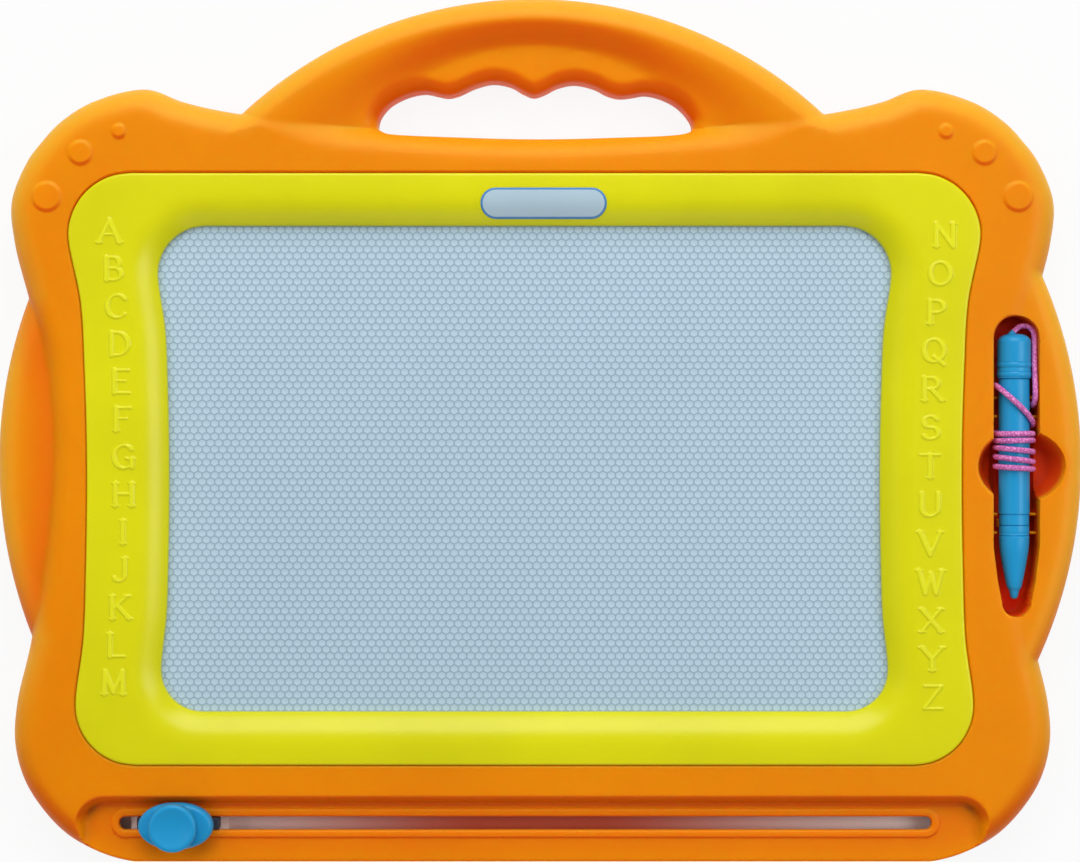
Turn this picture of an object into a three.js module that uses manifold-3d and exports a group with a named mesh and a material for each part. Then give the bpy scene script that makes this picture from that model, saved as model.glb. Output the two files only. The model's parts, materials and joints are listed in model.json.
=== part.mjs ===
import * as THREE from 'three';
import { mergeVertices } from 'three/addons/utils/BufferGeometryUtils.js';
import Module from 'manifold-3d';

const wasm = await Module();
wasm.setup();

// A magnetic drawing board lying on its back.
// Sizes are in millimetres. X runs to the right, Y up the board to its handle, Z out of its face.

// Whole board
const overallWidth = 420.4;
const overallHeight = 335;
const rearDepth = 9;
const frontDepth = 15;
const wall = 2.4;
const rearFloor = 2.2;
const fitGap = 0.3;
const overrun = 1;
const leastBend = 0.002;
const leastMitreShare = 0.6;

// Body of the case
const bodyShift = -2.5;
const wingReach = 7.6;
const bodyEdgeRadius = 11;
const backEdgeRadius = 4;
const bodySteps = 80;
const outerEdgeSteps = 3;
const innerEdgeSteps = 2;
const backEdgeSteps = 2;
const backInnerSteps = 1;
const bodyShares = [
  [0, 0.679], [0.296, 0.696], [0.479, 0.721], [0.597, 0.7415], [0.671, 0.7625], [0.74, 0.791],
  [0.842, 0.7625], [0.904, 0.716], [0.941, 0.669], [0.969, 0.6227], [0.9985, 0.53], [0.993, 0.436],
  [0.965, 0.304], [0.937, 0.1815], [0.924, 0.057], [0.92, -0.0716], [0.933, -0.27], [0.9615, -0.49],
  [0.9885, -0.635], [0.9915, -0.728], [0.969, -0.821], [0.912, -0.914], [0.859, -0.9606],
  [0.77, -0.9985], [0.543, -1], [0.18, -1],
];

// Side wings
const wingRadius = 183;
const wingCentreShare = -0.0758;
const wingRootShare = 0.92;
const wingOverlap = 23.4;
const wingBossInset = 9.8;
const wingBossRowShares = [-0.084, -0.299];
const wingEdgeRadius = 8;
const leftWingDrop = 4;
const wingSteps = 18;

// Carrying handle
const handleRadius = 165;
const handleBand = 59;
const handleHalfAngle = 0.9;
const handleSteps = 22;
const handleRise = 14.3;
const handleShares = [
  [0, 0], [0, 0.4], [0.07, 0.67], [0.2, 0.9], [0.36, 1], [0.52, 0.94], [0.72, 0.74], [0.9, 0.65],
];
const handleSlopeWidth = 24;

// Hand opening in the handle
const openingHalfWidth = 61.3;
const openingShift = 0.9;
const openingBaseShare = 0.6842;
const openingHeight = 21;
const openingSteps = 40;
const openingShares = [
  [-0.93, 0.03], [-0.99, 0.2], [-0.985, 0.45], [-0.82, 0.81], [-0.7, 0.885], [-0.56, 0.7], [-0.27, 0.95],
  [-0.12, 0.99], [0.03, 0.72], [0.15, 0.95], [0.31, 0.98], [0.54, 0.7], [0.72, 0.83], [0.93, 0.6],
  [0.995, 0.35], [0.98, 0.08], [0.9, 0.02], [0.45, -0.03], [0, -0.06], [-0.45, -0.02],
];

// Raised dots on the corners, as places on the right half of the body and as radii
const dotRise = 1.3;
const dotPlaceShares = [[0.785, 0.687], [0.858, 0.638], [0.922, 0.537]];
const dotRadius = 6.4;
const dotRadiusShares = [0.55, 0.84, 1];
const dotProfileShares = [[1, 0.33], [0.8, 0.8], [0.5, 1]];
const dotSides = 12;

// Screen and bezel
const screenShift = -3.1;
const bezelTopMargin = 27.2;
const bezelWaistMargin = 34.4;
const bezelBaseMargin = 30;
const bezelShelfGap = 11.6;
const bezelHandleGap = 15.6;
const frameTopWidth = 33.6;
const frameWaistWidth = 30.8;
const frameBaseWidth = 32.1;
const frameRailWidth = 19.9;
const openTopRadius = 18.5;
const openBaseRadius = 16;
const bezelTopRadius = 24;
const bezelBaseRadius = 23;
const waistDrop = 4;
const ledgeSink = 2;
const bezelProud = 1;
const bezelRim = 0.8;
const bezelSlope = 13;
const bezelSlopeFall = 5.8;
const bezelSlopePower = 2.2;
const bezelFoot = 2.4;
const bezelSkin = 2.3;
const bezelSlopeShares = [1, 0.62, 0.31, 0.1, 0];
const bezelHollowShare = 0.4;
const bezelShoulderShare = 0.75;
const lipOffset = 14;
const lipThick = 1.6;
const lipDrop = 3.4;
const barbLength = 8;
const barbReach = 1;
const barbHeight = 0.6;
const barbPlaceShares = [-0.62, 0, 0.62];
const cornerSteps = 5;
const sideSteps = 7;

// Screen stack and the frame that clamps it
const panelSideLap = 10.2;
const panelEndLap = 8.1;
const panelRadius = 14;
const panelSteps = 4;
const filmThick = 0.3;
const coreThick = 1.8;
const screenDrop = 6.8;
const retainerThick = 2;
const retainerSideReach = 28.7;
const retainerEndReach = 13.1;
const retainerSideClear = 4.2;
const retainerEndClear = 3.1;
const retainerRadius = 12;
const postRadius = 3.6;
const postInset = 4.5;
const postRowShares = [-0.82, 0, 0.82];

// Shelf of the eraser and its slot
const shelfDrop = 7;
const shelfHeight = 27.3;
const shelfLeftMargin = 25.7;
const shelfRightMargin = 25.8;
const shelfCorner = 12.5;
const shelfSlope = 6.1;
const slotLeftMargin = 16.8;
const slotRightMargin = 22.2;
const slotRise = 15.4;
const slotWidth = 5.2;
const beadWidth = 3.1;
const beadRise = 0.8;

// Eraser: knob, block, arm and magnet
const knobPlace = 22.9;
const knobHalfLength = 14.4;
const knobHalfWidth = 8.9;
const knobSides = 24;
const knobLongPower = 1.1;
const knobShortPower = 1.15;
const knobEdgeSteps = 2;
const knobNeckHeight = 3.1;
const knobNeckInset = 3.4;
const knobBaseHeight = 4.8;
const knobBaseEdge = 1.8;
const knobDiscRadius = 9.15;
const knobDiscHeight = 5;
const knobDiscEdge = 1.2;
const knobDiscSides = 18;
const knobGap = 0.3;
const blockLength = 31.8;
const armThick = 3.3;
const armWidth = 18;
const armFootLength = 38;
const armFootDepth = 13;
const armEndLap = 6;
const magnetWidth = 8;
const magnetThick = 2;
const magnetInset = 0.9;
const magnetSink = 0.5;
const knobScrewSpread = 8.5;
const knobScrewReach = 3.8;

// Glide strips that the eraser arm rides on
const stripThick = 0.5;
const stripWidth = 10;
const stripEndGap = 2.8;
const stripMargin = 3.4;
const railWidth = 1.6;
const railSpread = 3.6;
const braceWidth = 1.6;
const braceHeight = 3.8;
const bracePlaceShares = [-0.62, 0.04, 0.67];

// Screws
const screwHeadRadius = 2.9;
const screwHeadHeight = 1.6;
const screwCrownShare = 0.8;
const screwShaftRadius = 1.35;
const screwRecessDepth = 0.8;
const screwRecessWidth = 0.7;
const screwRecessSpan = 3.6;
const screwSides = 8;
const shellScrewLength = 11;
const retainerScrewLength = 5.4;
const counterboreDepth = 3;
const bossRadius = 4;
const columnRadius = 4.6;
const bossSides = 10;
const pilotSides = 8;
const bossPlaceShares = [
  [-0.79, 0.681], [0.79, 0.681], [-0.42, 0.737], [0.42, 0.737], [-0.188, 0.904], [0.188, 0.904],
  [-0.918, -0.764], [0.918, -0.764],
];

// Pen tray
const penInset = 26.3;
const penHeight = 17.5;
const trayHalfWidth = 8.9;
const trayTopY = 44.3;
const trayTaperY = -45;
const trayMidY = -58;
const trayMidHalf = 7.3;
const trayEndHalf = 5.6;
const trayEndY = -72;
const trayFloorThick = 2.1;
const trayArcSteps = 7;
const cradleThick = 1;
const cradleTopDrop = 1;
const cradlePlaceShares = [0.129, 0.2575, 0.926, 1.053];
const padHalfWidth = 5.5;
const capPadShare = 0.66;
const capPadLength = 6;
const nosePadLength = 3;

// Finger dish beside the pen
const dishShift = 2;
const dishY = -13.9;
const dishHalfWidth = 17.2;
const dishHalfHeight = 14.3;
const dishFloorHeight = 11.4;
const dishSteps = 20;
const dishShares = [[1, 1], [0.93, 0.55], [0.82, 0.22], [0.6, 0]];

// Pen, along Y
const barrelRadius = 5.95;
const barrelBore = 4.4;
const barrelTopY = 20;
const noseTopY = -36.7;
const bandTopY = -32.4;
const bandSink = 0.2;
const capRadius = 6.45;
const capRingRise = 0.2;
const capRingHalf = 0.9;
const capRingPlaceShares = [0.092, 0.3046];
const capTopY = 37.4;
const capDome = 3.4;
const capDomeShares = [[0.86, 0.55], [0.5, 0.9]];
const spigotLength = 6;
const noseTipY = -61.2;
const noseTipRadius = 2.7;
const noseBore = 2.6;
const noseShares = [[0.985, 0.16], [0.93, 0.38], [0.82, 0.55], [0.68, 0.74], [0.53, 0.92]];
const nibLength = 4;
const nibShankRadius = 1.4;
const nibShankLength = 4;
const nibTipRadius = 1.5;
const nibTipShares = [[0.7, 0.94], [1, 0.75]];
const penMagnetRadius = 2.3;
const penMagnetLength = 16;
const penSides = 18;

// Cord: its lead from the cap to the windings, as points from the pen's axis,
// and where the windings cross the axis's right side, left side, right side and so on.
const cordDiameter = 1.9;
const cordSides = 6;
const stepsPerLoop = 24;
const cordClearance = 0.25;
const cordLead = [
  [-0.24, 38.16, 0], [1.1, 39.5, 0], [2.34, 40.32, 0.1], [3.79, 40.61, 0.2],
  [5.24, 40.32, 0.4], [6.48, 39.5, 0.6], [7.3, 38.26, 0.8], [7.59, 36.8, 1],
  [7.6, 32, 1.4], [7.5, 26, 2.1], [7.5, 20, 3.1], [7.5, 16.5, 3.65],
  [7.5, 13.8, 3.8], [7.45, 12.27, 3.5], [7.35, 10.97, 2.63], [7.22, 10.1, 1.33],
];
const crossings = [9.8, 17.5, 2.3, -1.2, -1.3, -3.9, -3.8, -6.5, -8.3, -10.1, -12.2, -13.9, -14.9];
const pullShare = 0.25;
const eyeletRadius = 1.15;
const eyeletRise = 0.55;
const eyeletSides = 10;
const tetherHoleGap = 0.35;
const knotRadius = 1.9;
const knotSides = 10;
const knotRings = 6;
const tetherSides = 8;

// Places that follow from the sizes above
const halfWidth = overallWidth / 2;
const halfHeight = overallHeight / 2;
const bodyHalfWidth = halfWidth - wingReach;
const openingBaseY = openingBaseShare * halfHeight;
const wingCentreY = wingCentreShare * halfHeight;
const wingInnerX = wingRootShare * bodyHalfWidth - wingOverlap;
const penX = halfWidth - penInset;
const dishX = penX + dishShift;
const shelfTopY = shelfHeight - halfHeight;
const slotY = slotRise - halfHeight;
const shelfLeftX = bodyShift - bodyHalfWidth + shelfLeftMargin;
const shelfRightX = bodyShift + bodyHalfWidth - shelfRightMargin;
const slotLeftX = shelfLeftX + slotLeftMargin;
const slotRightX = shelfRightX - slotRightMargin;
const knobX = slotLeftX + knobPlace;
const bezelBaseY = shelfTopY + bezelShelfGap;
const bezelTopY = openingBaseY - bezelHandleGap;
const screenX = bodyShift + screenShift;
const screenY = (bezelTopY + bezelBaseY) / 2;
const bezelHalfHeight = (bezelTopY - bezelBaseY) / 2;
const bezelTopHalf = bodyHalfWidth - bezelTopMargin;
const bezelWaistHalf = bodyHalfWidth - bezelWaistMargin;
const bezelBaseHalf = bodyHalfWidth - bezelBaseMargin;
const openTopHalf = bezelTopHalf - frameTopWidth;
const openWaistHalf = bezelWaistHalf - frameWaistWidth;
const openBaseHalf = bezelBaseHalf - frameBaseWidth;
const openHalfHeight = bezelHalfHeight - frameRailWidth;
const panelHalfWidth = openTopHalf + panelSideLap;
const panelHalfHeight = openHalfHeight + panelEndLap;
const retainerHalfWidth = openTopHalf + retainerSideReach;
const retainerHalfHeight = openHalfHeight + retainerEndReach;
const retainerOpenHalfWidth = openTopHalf + retainerSideClear;
const retainerOpenHalfHeight = openHalfHeight + retainerEndClear;
const stripUpperY = screenY + panelHalfHeight + stripEndGap;
const armTopY = stripUpperY + armEndLap;
const magnetHalfLength = openHalfHeight - magnetInset;

// Levels that follow from the sizes above
const topZ = rearDepth + frontDepth;
const ledgeZ = topZ - ledgeSink;
const ledgeBaseZ = ledgeZ - wall;
const shelfZ = topZ - shelfDrop;
const beadZ = shelfZ + beadRise;
const frontFilmTopZ = topZ - screenDrop;
const frontFilmZ = frontFilmTopZ - filmThick;
const coreZ = frontFilmZ - coreThick;
const backFilmZ = coreZ - filmThick;
const retainerZ = backFilmZ - retainerThick;
const armTopZ = backFilmZ - magnetSink - magnetThick;
const armZ = armTopZ - armThick;
const stripTopZ = armZ - fitGap;
const stripZ = stripTopZ - stripThick;
const knobZ = beadZ + knobGap;
const windRadius = barrelRadius + cordClearance + cordDiameter / 2;
const trayFloorZ = penHeight - windRadius - cordDiameter / 2 - fitGap;
const tetherX = penX + windRadius;
const tetherY = crossings[crossings.length - 1];
const handleCentreY = halfHeight - handleRadius;
const windowOffset = lipOffset + lipThick + fitGap;

function pair(x, y) {
  return new THREE.Vector2(x, y);
}

// Closed solids from three.js geometry, with their doubled corners joined.
function solidOf(positions, index) {
  const mesh = new wasm.Mesh({
    numProp: 3,
    vertProperties: new Float32Array(positions),
    triVerts: new Uint32Array(index),
  });
  return new wasm.Manifold(mesh);
}

function solidFrom(geometry) {
  const plain = geometry.clone();
  plain.deleteAttribute('normal');
  plain.deleteAttribute('uv');
  const merged = mergeVertices(plain);
  const source = merged.index.array;
  const index = [];
  for (let i = 0; i < source.length; i += 3) {
    const [a, b, c] = [source[i], source[i + 1], source[i + 2]];
    if (a !== b && b !== c && c !== a) index.push(a, b, c);
  }
  return solidOf(merged.attributes.position.array, index);
}

function geometryOf(solid) {
  const mesh = solid.getMesh();
  const geometry = new THREE.BufferGeometry();
  geometry.setAttribute('position', new THREE.BufferAttribute(mesh.vertProperties, 3));
  geometry.setIndex(new THREE.BufferAttribute(mesh.triVerts, 1));
  geometry.computeVertexNormals();
  return geometry;
}

function flatFaces(outline) {
  const faces = THREE.ShapeUtils.triangulateShape(outline, []);
  return faces.map(([a, b, c]) => {
    const ab = outline[b].clone().sub(outline[a]);
    const ac = outline[c].clone().sub(outline[a]);
    return ab.cross(ac) > 0 ? [a, b, c] : [a, c, b];
  });
}

// Outlines run anticlockwise, seen from the front, and levels run upwards.
function levelPositions(levels) {
  const positions = [];
  for (const level of levels) {
    for (const spot of level.outline) positions.push(spot.x, spot.y, level.z);
  }
  return positions;
}

function bandFaces(count, low, high) {
  const index = [];
  for (let i = 0; i < count; i += 1) {
    const j = (i + 1) % count;
    const [a, b] = [low * count + i, low * count + j];
    const [c, d] = [high * count + i, high * count + j];
    index.push(a, b, d, a, d, c);
  }
  return index;
}

function loft(levels) {
  const count = levels[0].outline.length;
  const index = [];
  for (let k = 0; k + 1 < levels.length; k += 1) index.push(...bandFaces(count, k, k + 1));
  const last = (levels.length - 1) * count;
  for (const [a, b, c] of flatFaces(levels[0].outline)) index.push(c, b, a);
  const top = flatFaces(levels[levels.length - 1].outline);
  for (const [a, b, c] of top) index.push(last + a, last + b, last + c);
  return solidOf(levelPositions(levels), index);
}

function ringLoft(levels) {
  const count = levels[0].outline.length;
  const index = [];
  for (let k = 0; k < levels.length; k += 1) index.push(...bandFaces(count, k, (k + 1) % levels.length));
  return solidOf(levelPositions(levels), index);
}

function prism(outline, low, high) {
  return loft([{ outline, z: low }, { outline, z: high }]);
}

function block(lowX, highX, lowY, highY, lowZ, highZ) {
  const geometry = new THREE.BoxGeometry(highX - lowX, highY - lowY, highZ - lowZ);
  geometry.translate((lowX + highX) / 2, (lowY + highY) / 2, (lowZ + highZ) / 2);
  return solidFrom(geometry);
}

function post(x, y, low, high, radius, sides) {
  const geometry = new THREE.CylinderGeometry(radius, radius, high - low, sides);
  geometry.rotateX(Math.PI / 2);
  geometry.translate(x, y, (low + high) / 2);
  return solidFrom(geometry);
}

function union(solids) {
  return solids.reduce((whole, solid) => whole.add(solid));
}

function cut(whole, solids) {
  return solids.reduce((rest, solid) => rest.subtract(solid), whole);
}

// Moves each corner of an outline inwards, or outwards where the distance is negative.
function inset(outline, distance) {
  const count = outline.length;
  return outline.map((spot, i) => {
    const before = outline[(i + count - 1) % count];
    const after = outline[(i + 1) % count];
    const into = spot.clone().sub(before).normalize();
    const out = after.clone().sub(spot).normalize();
    const along = into.clone().add(out).normalize();
    const stretch = 1 / Math.max(Math.abs(along.dot(out)), leastMitreShare);
    return pair(spot.x - along.y * distance * stretch, spot.y + along.x * distance * stretch);
  });
}

function arc(centreX, centreY, radiusX, radiusY, from, to, steps) {
  const spots = [];
  for (let i = 0; i <= steps; i += 1) {
    const angle = from + (to - from) * i / steps;
    spots.push(pair(centreX + radiusX * Math.cos(angle), centreY + radiusY * Math.sin(angle)));
  }
  return spots;
}

function smoothOutline(spots, steps) {
  const corners = spots.map((spot) => new THREE.Vector3(spot.x, spot.y, 0));
  const curve = new THREE.CatmullRomCurve3(corners, true, 'centripetal');
  const outline = curve.getSpacedPoints(steps).slice(0, steps).map((spot) => pair(spot.x, spot.y));
  return withoutStraightCorners(outline);
}

function withoutStraightCorners(outline) {
  const count = outline.length;
  return outline.filter((spot, i) => {
    const into = spot.clone().sub(outline[(i + count - 1) % count]).normalize();
    const out = outline[(i + 1) % count].clone().sub(spot).normalize();
    return Math.abs(into.cross(out)) > leastBend;
  });
}

function roundedRectangle(centreX, centreY, halfX, halfY, radius, steps) {
  const quarter = Math.PI / 2;
  const spots = [];
  const turns = [[1, 1], [-1, 1], [-1, -1], [1, -1]];
  turns.forEach(([sideX, sideY], i) => {
    const x = centreX + sideX * (halfX - radius);
    const y = centreY + sideY * (halfY - radius);
    spots.push(...arc(x, y, radius, radius, quarter * i, quarter * (i + 1), steps));
  });
  return spots;
}

// Outline of the body: its two halves mirror each other.
function bodyOutline() {
  const right = bodyShares.map(([x, y]) => pair(x * bodyHalfWidth, y * halfHeight));
  const left = right.slice(1).map((spot) => pair(-spot.x, spot.y));
  const clockwise = [...right, ...left.reverse()];
  const outline = smoothOutline(clockwise.reverse(), bodySteps);
  return outline.map((spot) => pair(spot.x + bodyShift, Math.max(spot.y, -halfHeight)));
}

function wingOutline(side, depth) {
  const centreX = side * (halfWidth - wingRadius);
  const radius = wingRadius - depth;
  const reach = Math.acos((wingInnerX - Math.abs(centreX)) / radius);
  const middle = side > 0 ? 0 : Math.PI;
  return arc(centreX, wingCentreY, radius, radius, middle - reach, middle + reach, wingSteps);
}

function handleOutline(outer, inner) {
  const start = Math.PI / 2 - handleHalfAngle;
  const end = Math.PI / 2 + handleHalfAngle;
  const rim = arc(bodyShift, handleCentreY, outer, outer, start, end, handleSteps);
  const core = arc(bodyShift, handleCentreY, inner, inner, end, start, handleSteps);
  return [...rim, ...core];
}

function openingOutline() {
  const spots = openingShares.map(([x, y]) => {
    return pair(bodyShift + openingShift + x * openingHalfWidth, openingBaseY + y * openingHeight);
  });
  return smoothOutline(spots.reverse(), openingSteps);
}

// Width of a waisted frame at a height: a parabola through its top, waist and base.
function waistedHalf(y, half, height) {
  const [top, waist, base] = half;
  const rise = y + waistDrop;
  const upper = height + waistDrop;
  const lower = height - waistDrop;
  if (rise > 0) return waist + (top - waist) * (rise / upper) ** 2;
  return waist + (base - waist) * (rise / lower) ** 2;
}

function waistedFrame(half, height, topRadius, baseRadius) {
  const [top, , base] = half;
  const quarter = Math.PI / 2;
  const low = baseRadius - height;
  const right = arc(base - baseRadius, low, baseRadius, baseRadius, -quarter, 0, cornerSteps);
  for (let i = 1; i < sideSteps; i += 1) {
    const y = low + (height - topRadius - low) * i / sideSteps;
    right.push(pair(waistedHalf(y, half, height), y));
  }
  right.push(...arc(top - topRadius, height - topRadius, topRadius, topRadius, 0, quarter, cornerSteps));
  const left = right.map((spot) => pair(-spot.x, spot.y)).reverse();
  return [...right, ...left].map((spot) => pair(spot.x + screenX, spot.y + screenY));
}

function openFrame() {
  const half = [openTopHalf, openWaistHalf, openBaseHalf];
  return waistedFrame(half, openHalfHeight, openTopRadius, openBaseRadius);
}

function bezelFrame() {
  const half = [bezelTopHalf, bezelWaistHalf, bezelBaseHalf];
  return waistedFrame(half, bezelHalfHeight, bezelTopRadius, bezelBaseRadius);
}

// Levels of a slab with a rounded edge: outlineAt gives its outline at a depth inside its edge.
function frontLevels(outlineAt, low, high, radius, steps) {
  const levels = [{ outline: outlineAt(0), z: low }];
  for (let i = 0; i <= steps; i += 1) {
    const angle = Math.PI / 2 * i / steps;
    const depth = radius * (1 - Math.cos(angle));
    levels.push({ outline: outlineAt(depth), z: high - radius + radius * Math.sin(angle) });
  }
  return levels;
}

function backLevels(outlineAt, low, high, radius, steps) {
  const levels = [];
  for (let i = steps; i >= 0; i -= 1) {
    const angle = Math.PI / 2 * i / steps;
    const depth = radius * (1 - Math.cos(angle));
    levels.push({ outline: outlineAt(depth), z: low + radius - radius * Math.sin(angle) });
  }
  levels.push({ outline: outlineAt(0), z: high });
  return levels;
}

// The handle's section, turned about the handle's centre through its half angle either way.
function handleSection(shrink) {
  const low = shrink > 0 ? rearDepth - overrun : rearDepth;
  const inner = handleRadius - handleBand - (shrink > 0 ? overrun : 0);
  const spots = [pair(inner, low), pair(handleRadius - shrink, low)];
  const outer = handleShares.map(([x, z]) => {
    return pair(handleRadius - x * handleSlopeWidth, rearDepth + z * handleRise);
  });
  const crest = outer[Math.floor(outer.length / 2)];
  for (const spot of outer.slice(1)) {
    const side = Math.min(1, Math.max(0, (spot.x - crest.x) / (handleRadius - crest.x)));
    spots.push(pair(spot.x - side * shrink, spot.y - (spot === outer[1] ? 0 : shrink)));
  }
  spots.push(pair(inner, spots[spots.length - 1].y));
  return spots;
}

function turnedSector(section, halfAngle) {
  const start = Math.PI / 2 - halfAngle;
  const positions = [];
  const count = section.length;
  for (let k = 0; k <= handleSteps; k += 1) {
    const angle = start + 2 * halfAngle * k / handleSteps;
    for (const spot of section) {
      const x = bodyShift + spot.x * Math.cos(angle);
      positions.push(x, handleCentreY + spot.x * Math.sin(angle), spot.y);
    }
  }
  const index = [];
  for (let k = 0; k < handleSteps; k += 1) {
    for (let i = 0; i < count; i += 1) {
      const j = (i + 1) % count;
      const [a, b] = [k * count + i, k * count + j];
      index.push(a, b + count, b, a, a + count, b + count);
    }
  }
  const last = handleSteps * count;
  for (const [a, b, c] of flatFaces(section)) {
    index.push(a, b, c);
    index.push(last + a, last + c, last + b);
  }
  return solidOf(positions, index);
}

function bossSpots() {
  const onBody = bossPlaceShares.map(([x, y]) => [bodyShift + x * bodyHalfWidth, y * halfHeight]);
  const onWings = wingBossRowShares.map((row, i) => {
    const side = i > 0 ? 1 : -1;
    return [side * (halfWidth - wingBossInset), row * halfHeight];
  });
  return [...onBody, ...onWings];
}

function postSpots() {
  const spots = [];
  for (const side of [-1, 1]) {
    for (const row of postRowShares) {
      const x = screenX + side * (retainerHalfWidth - postInset);
      spots.push([x, screenY + row * retainerHalfHeight]);
    }
  }
  return spots;
}

function slotOutline(extra) {
  const radius = slotWidth / 2 + extra;
  const half = Math.PI / 2;
  const inner = slotWidth / 2;
  return [
    ...arc(slotRightX - inner, slotY, radius, radius, -half, half, trayArcSteps),
    ...arc(slotLeftX + inner, slotY, radius, radius, half, 3 * half, trayArcSteps),
  ];
}

// The shelf is open at the board's lower edge.
function shelfOutline(depth) {
  const half = Math.PI / 2;
  const corner = shelfCorner - depth;
  const low = -halfHeight - shelfCorner;
  const top = shelfTopY - shelfCorner;
  return [
    pair(shelfRightX - depth, low),
    ...arc(shelfRightX - shelfCorner, top, corner, corner, 0, half, cornerSteps),
    ...arc(shelfLeftX + shelfCorner, top, corner, corner, half, 2 * half, cornerSteps),
    pair(shelfLeftX + depth, low),
  ];
}

function trayOutline(extra) {
  const half = trayHalfWidth + extra;
  const end = trayEndHalf + extra;
  const archY = trayTopY - trayHalfWidth;
  const endY = trayEndY + trayEndHalf;
  return [
    ...arc(penX, archY, half, half, 0, Math.PI, trayArcSteps),
    pair(penX - half, trayTaperY),
    pair(penX - trayMidHalf - extra, trayMidY),
    ...arc(penX, endY, end, end, Math.PI, 2 * Math.PI, trayArcSteps),
    pair(penX + trayMidHalf + extra, trayMidY),
    pair(penX + half, trayTaperY),
  ];
}

function dishLevels(extra) {
  const levels = dishShares.map(([size, rise]) => ({
    outline: arc(
      dishX, dishY, dishHalfWidth * size + extra, dishHalfHeight * size + extra,
      0, 2 * Math.PI, dishSteps,
    ).slice(0, dishSteps),
    z: dishFloorHeight - extra + rise * (topZ + overrun - dishFloorHeight),
  }));
  return levels.reverse();
}

function dot(x, y, radius) {
  const skin = dotProfileShares.map(([size, rise]) => pair(size * radius, rise * dotRise));
  const profile = [pair(0, -overrun), pair(radius, -overrun), ...skin, pair(0, dotRise)];
  const geometry = new THREE.LatheGeometry(profile, dotSides);
  geometry.rotateX(Math.PI / 2);
  geometry.translate(x, y, topZ);
  return solidFrom(geometry);
}

function cornerDots() {
  const dots = [];
  dotPlaceShares.forEach(([x, y], i) => {
    for (const side of [-1, 1]) {
      dots.push(dot(bodyShift + side * x * bodyHalfWidth, y * halfHeight, dotRadius * dotRadiusShares[i]));
    }
  });
  return dots;
}

function bodyAt(shrink) {
  const outline = bodyOutline();
  return (depth) => inset(outline, shrink + depth);
}

function wingAt(side, shrink) {
  return (depth) => wingOutline(side, shrink + depth);
}

function handleAt(shrink) {
  return (depth) => handleOutline(handleRadius - shrink - depth, handleRadius - handleBand - shrink);
}

function frontOuter() {
  const low = rearDepth;
  return union([
    loft(frontLevels(bodyAt(0), low, topZ, bodyEdgeRadius, outerEdgeSteps)),
    turnedSector(handleSection(0), handleHalfAngle),
    loft(frontLevels(wingAt(1, 0), low, topZ, wingEdgeRadius, outerEdgeSteps)),
    loft(frontLevels(wingAt(-1, 0), low, topZ - leftWingDrop, wingEdgeRadius, outerEdgeSteps)),
  ]);
}

function frontCavity() {
  const low = rearDepth - overrun;
  const high = topZ - wall;
  const round = bodyEdgeRadius - wall;
  const wingRound = wingEdgeRadius - wall;
  return union([
    loft(frontLevels(bodyAt(wall), low, high, round, innerEdgeSteps)),
    turnedSector(handleSection(wall), handleHalfAngle),
    loft(frontLevels(wingAt(1, wall), low, high, wingRound, innerEdgeSteps)),
    loft(frontLevels(wingAt(-1, wall), low, high - leftWingDrop, wingRound, innerEdgeSteps)),
  ]);
}

function cradleY(share) {
  return barrelTopY + (noseTopY - barrelTopY) * share;
}

function cradles() {
  const low = trayFloorZ - trayFloorThick / 2;
  const high = penHeight - cradleTopDrop;
  const reach = barrelRadius + fitGap;
  const parts = [];
  for (const share of cradlePlaceShares) {
    const y = cradleY(share);
    for (const side of [-1, 1]) {
      const edges = [penX + side * reach, penX + side * (trayHalfWidth + overrun)].sort((a, b) => a - b);
      parts.push(block(edges[0], edges[1], y - cradleThick / 2, y + cradleThick / 2, low, high));
    }
  }
  return parts;
}

function penPads() {
  const low = trayFloorZ - trayFloorThick / 2;
  const capTop = penHeight - capRadius - fitGap;
  const noseTop = penHeight - barrelRadius - fitGap;
  const capPadY = barrelTopY + (capTopY - barrelTopY) * capPadShare;
  const [, , upper, lower] = cradlePlaceShares;
  const nosePadY = cradleY((upper + lower) / 2);
  const [left, right] = [penX - padHalfWidth, penX + padHalfWidth];
  return [
    block(left, right, capPadY - capPadLength / 2, capPadY + capPadLength / 2, low, capTop),
    block(left, right, nosePadY - nosePadLength / 2, nosePadY + nosePadLength / 2, low, noseTop),
  ];
}

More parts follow.
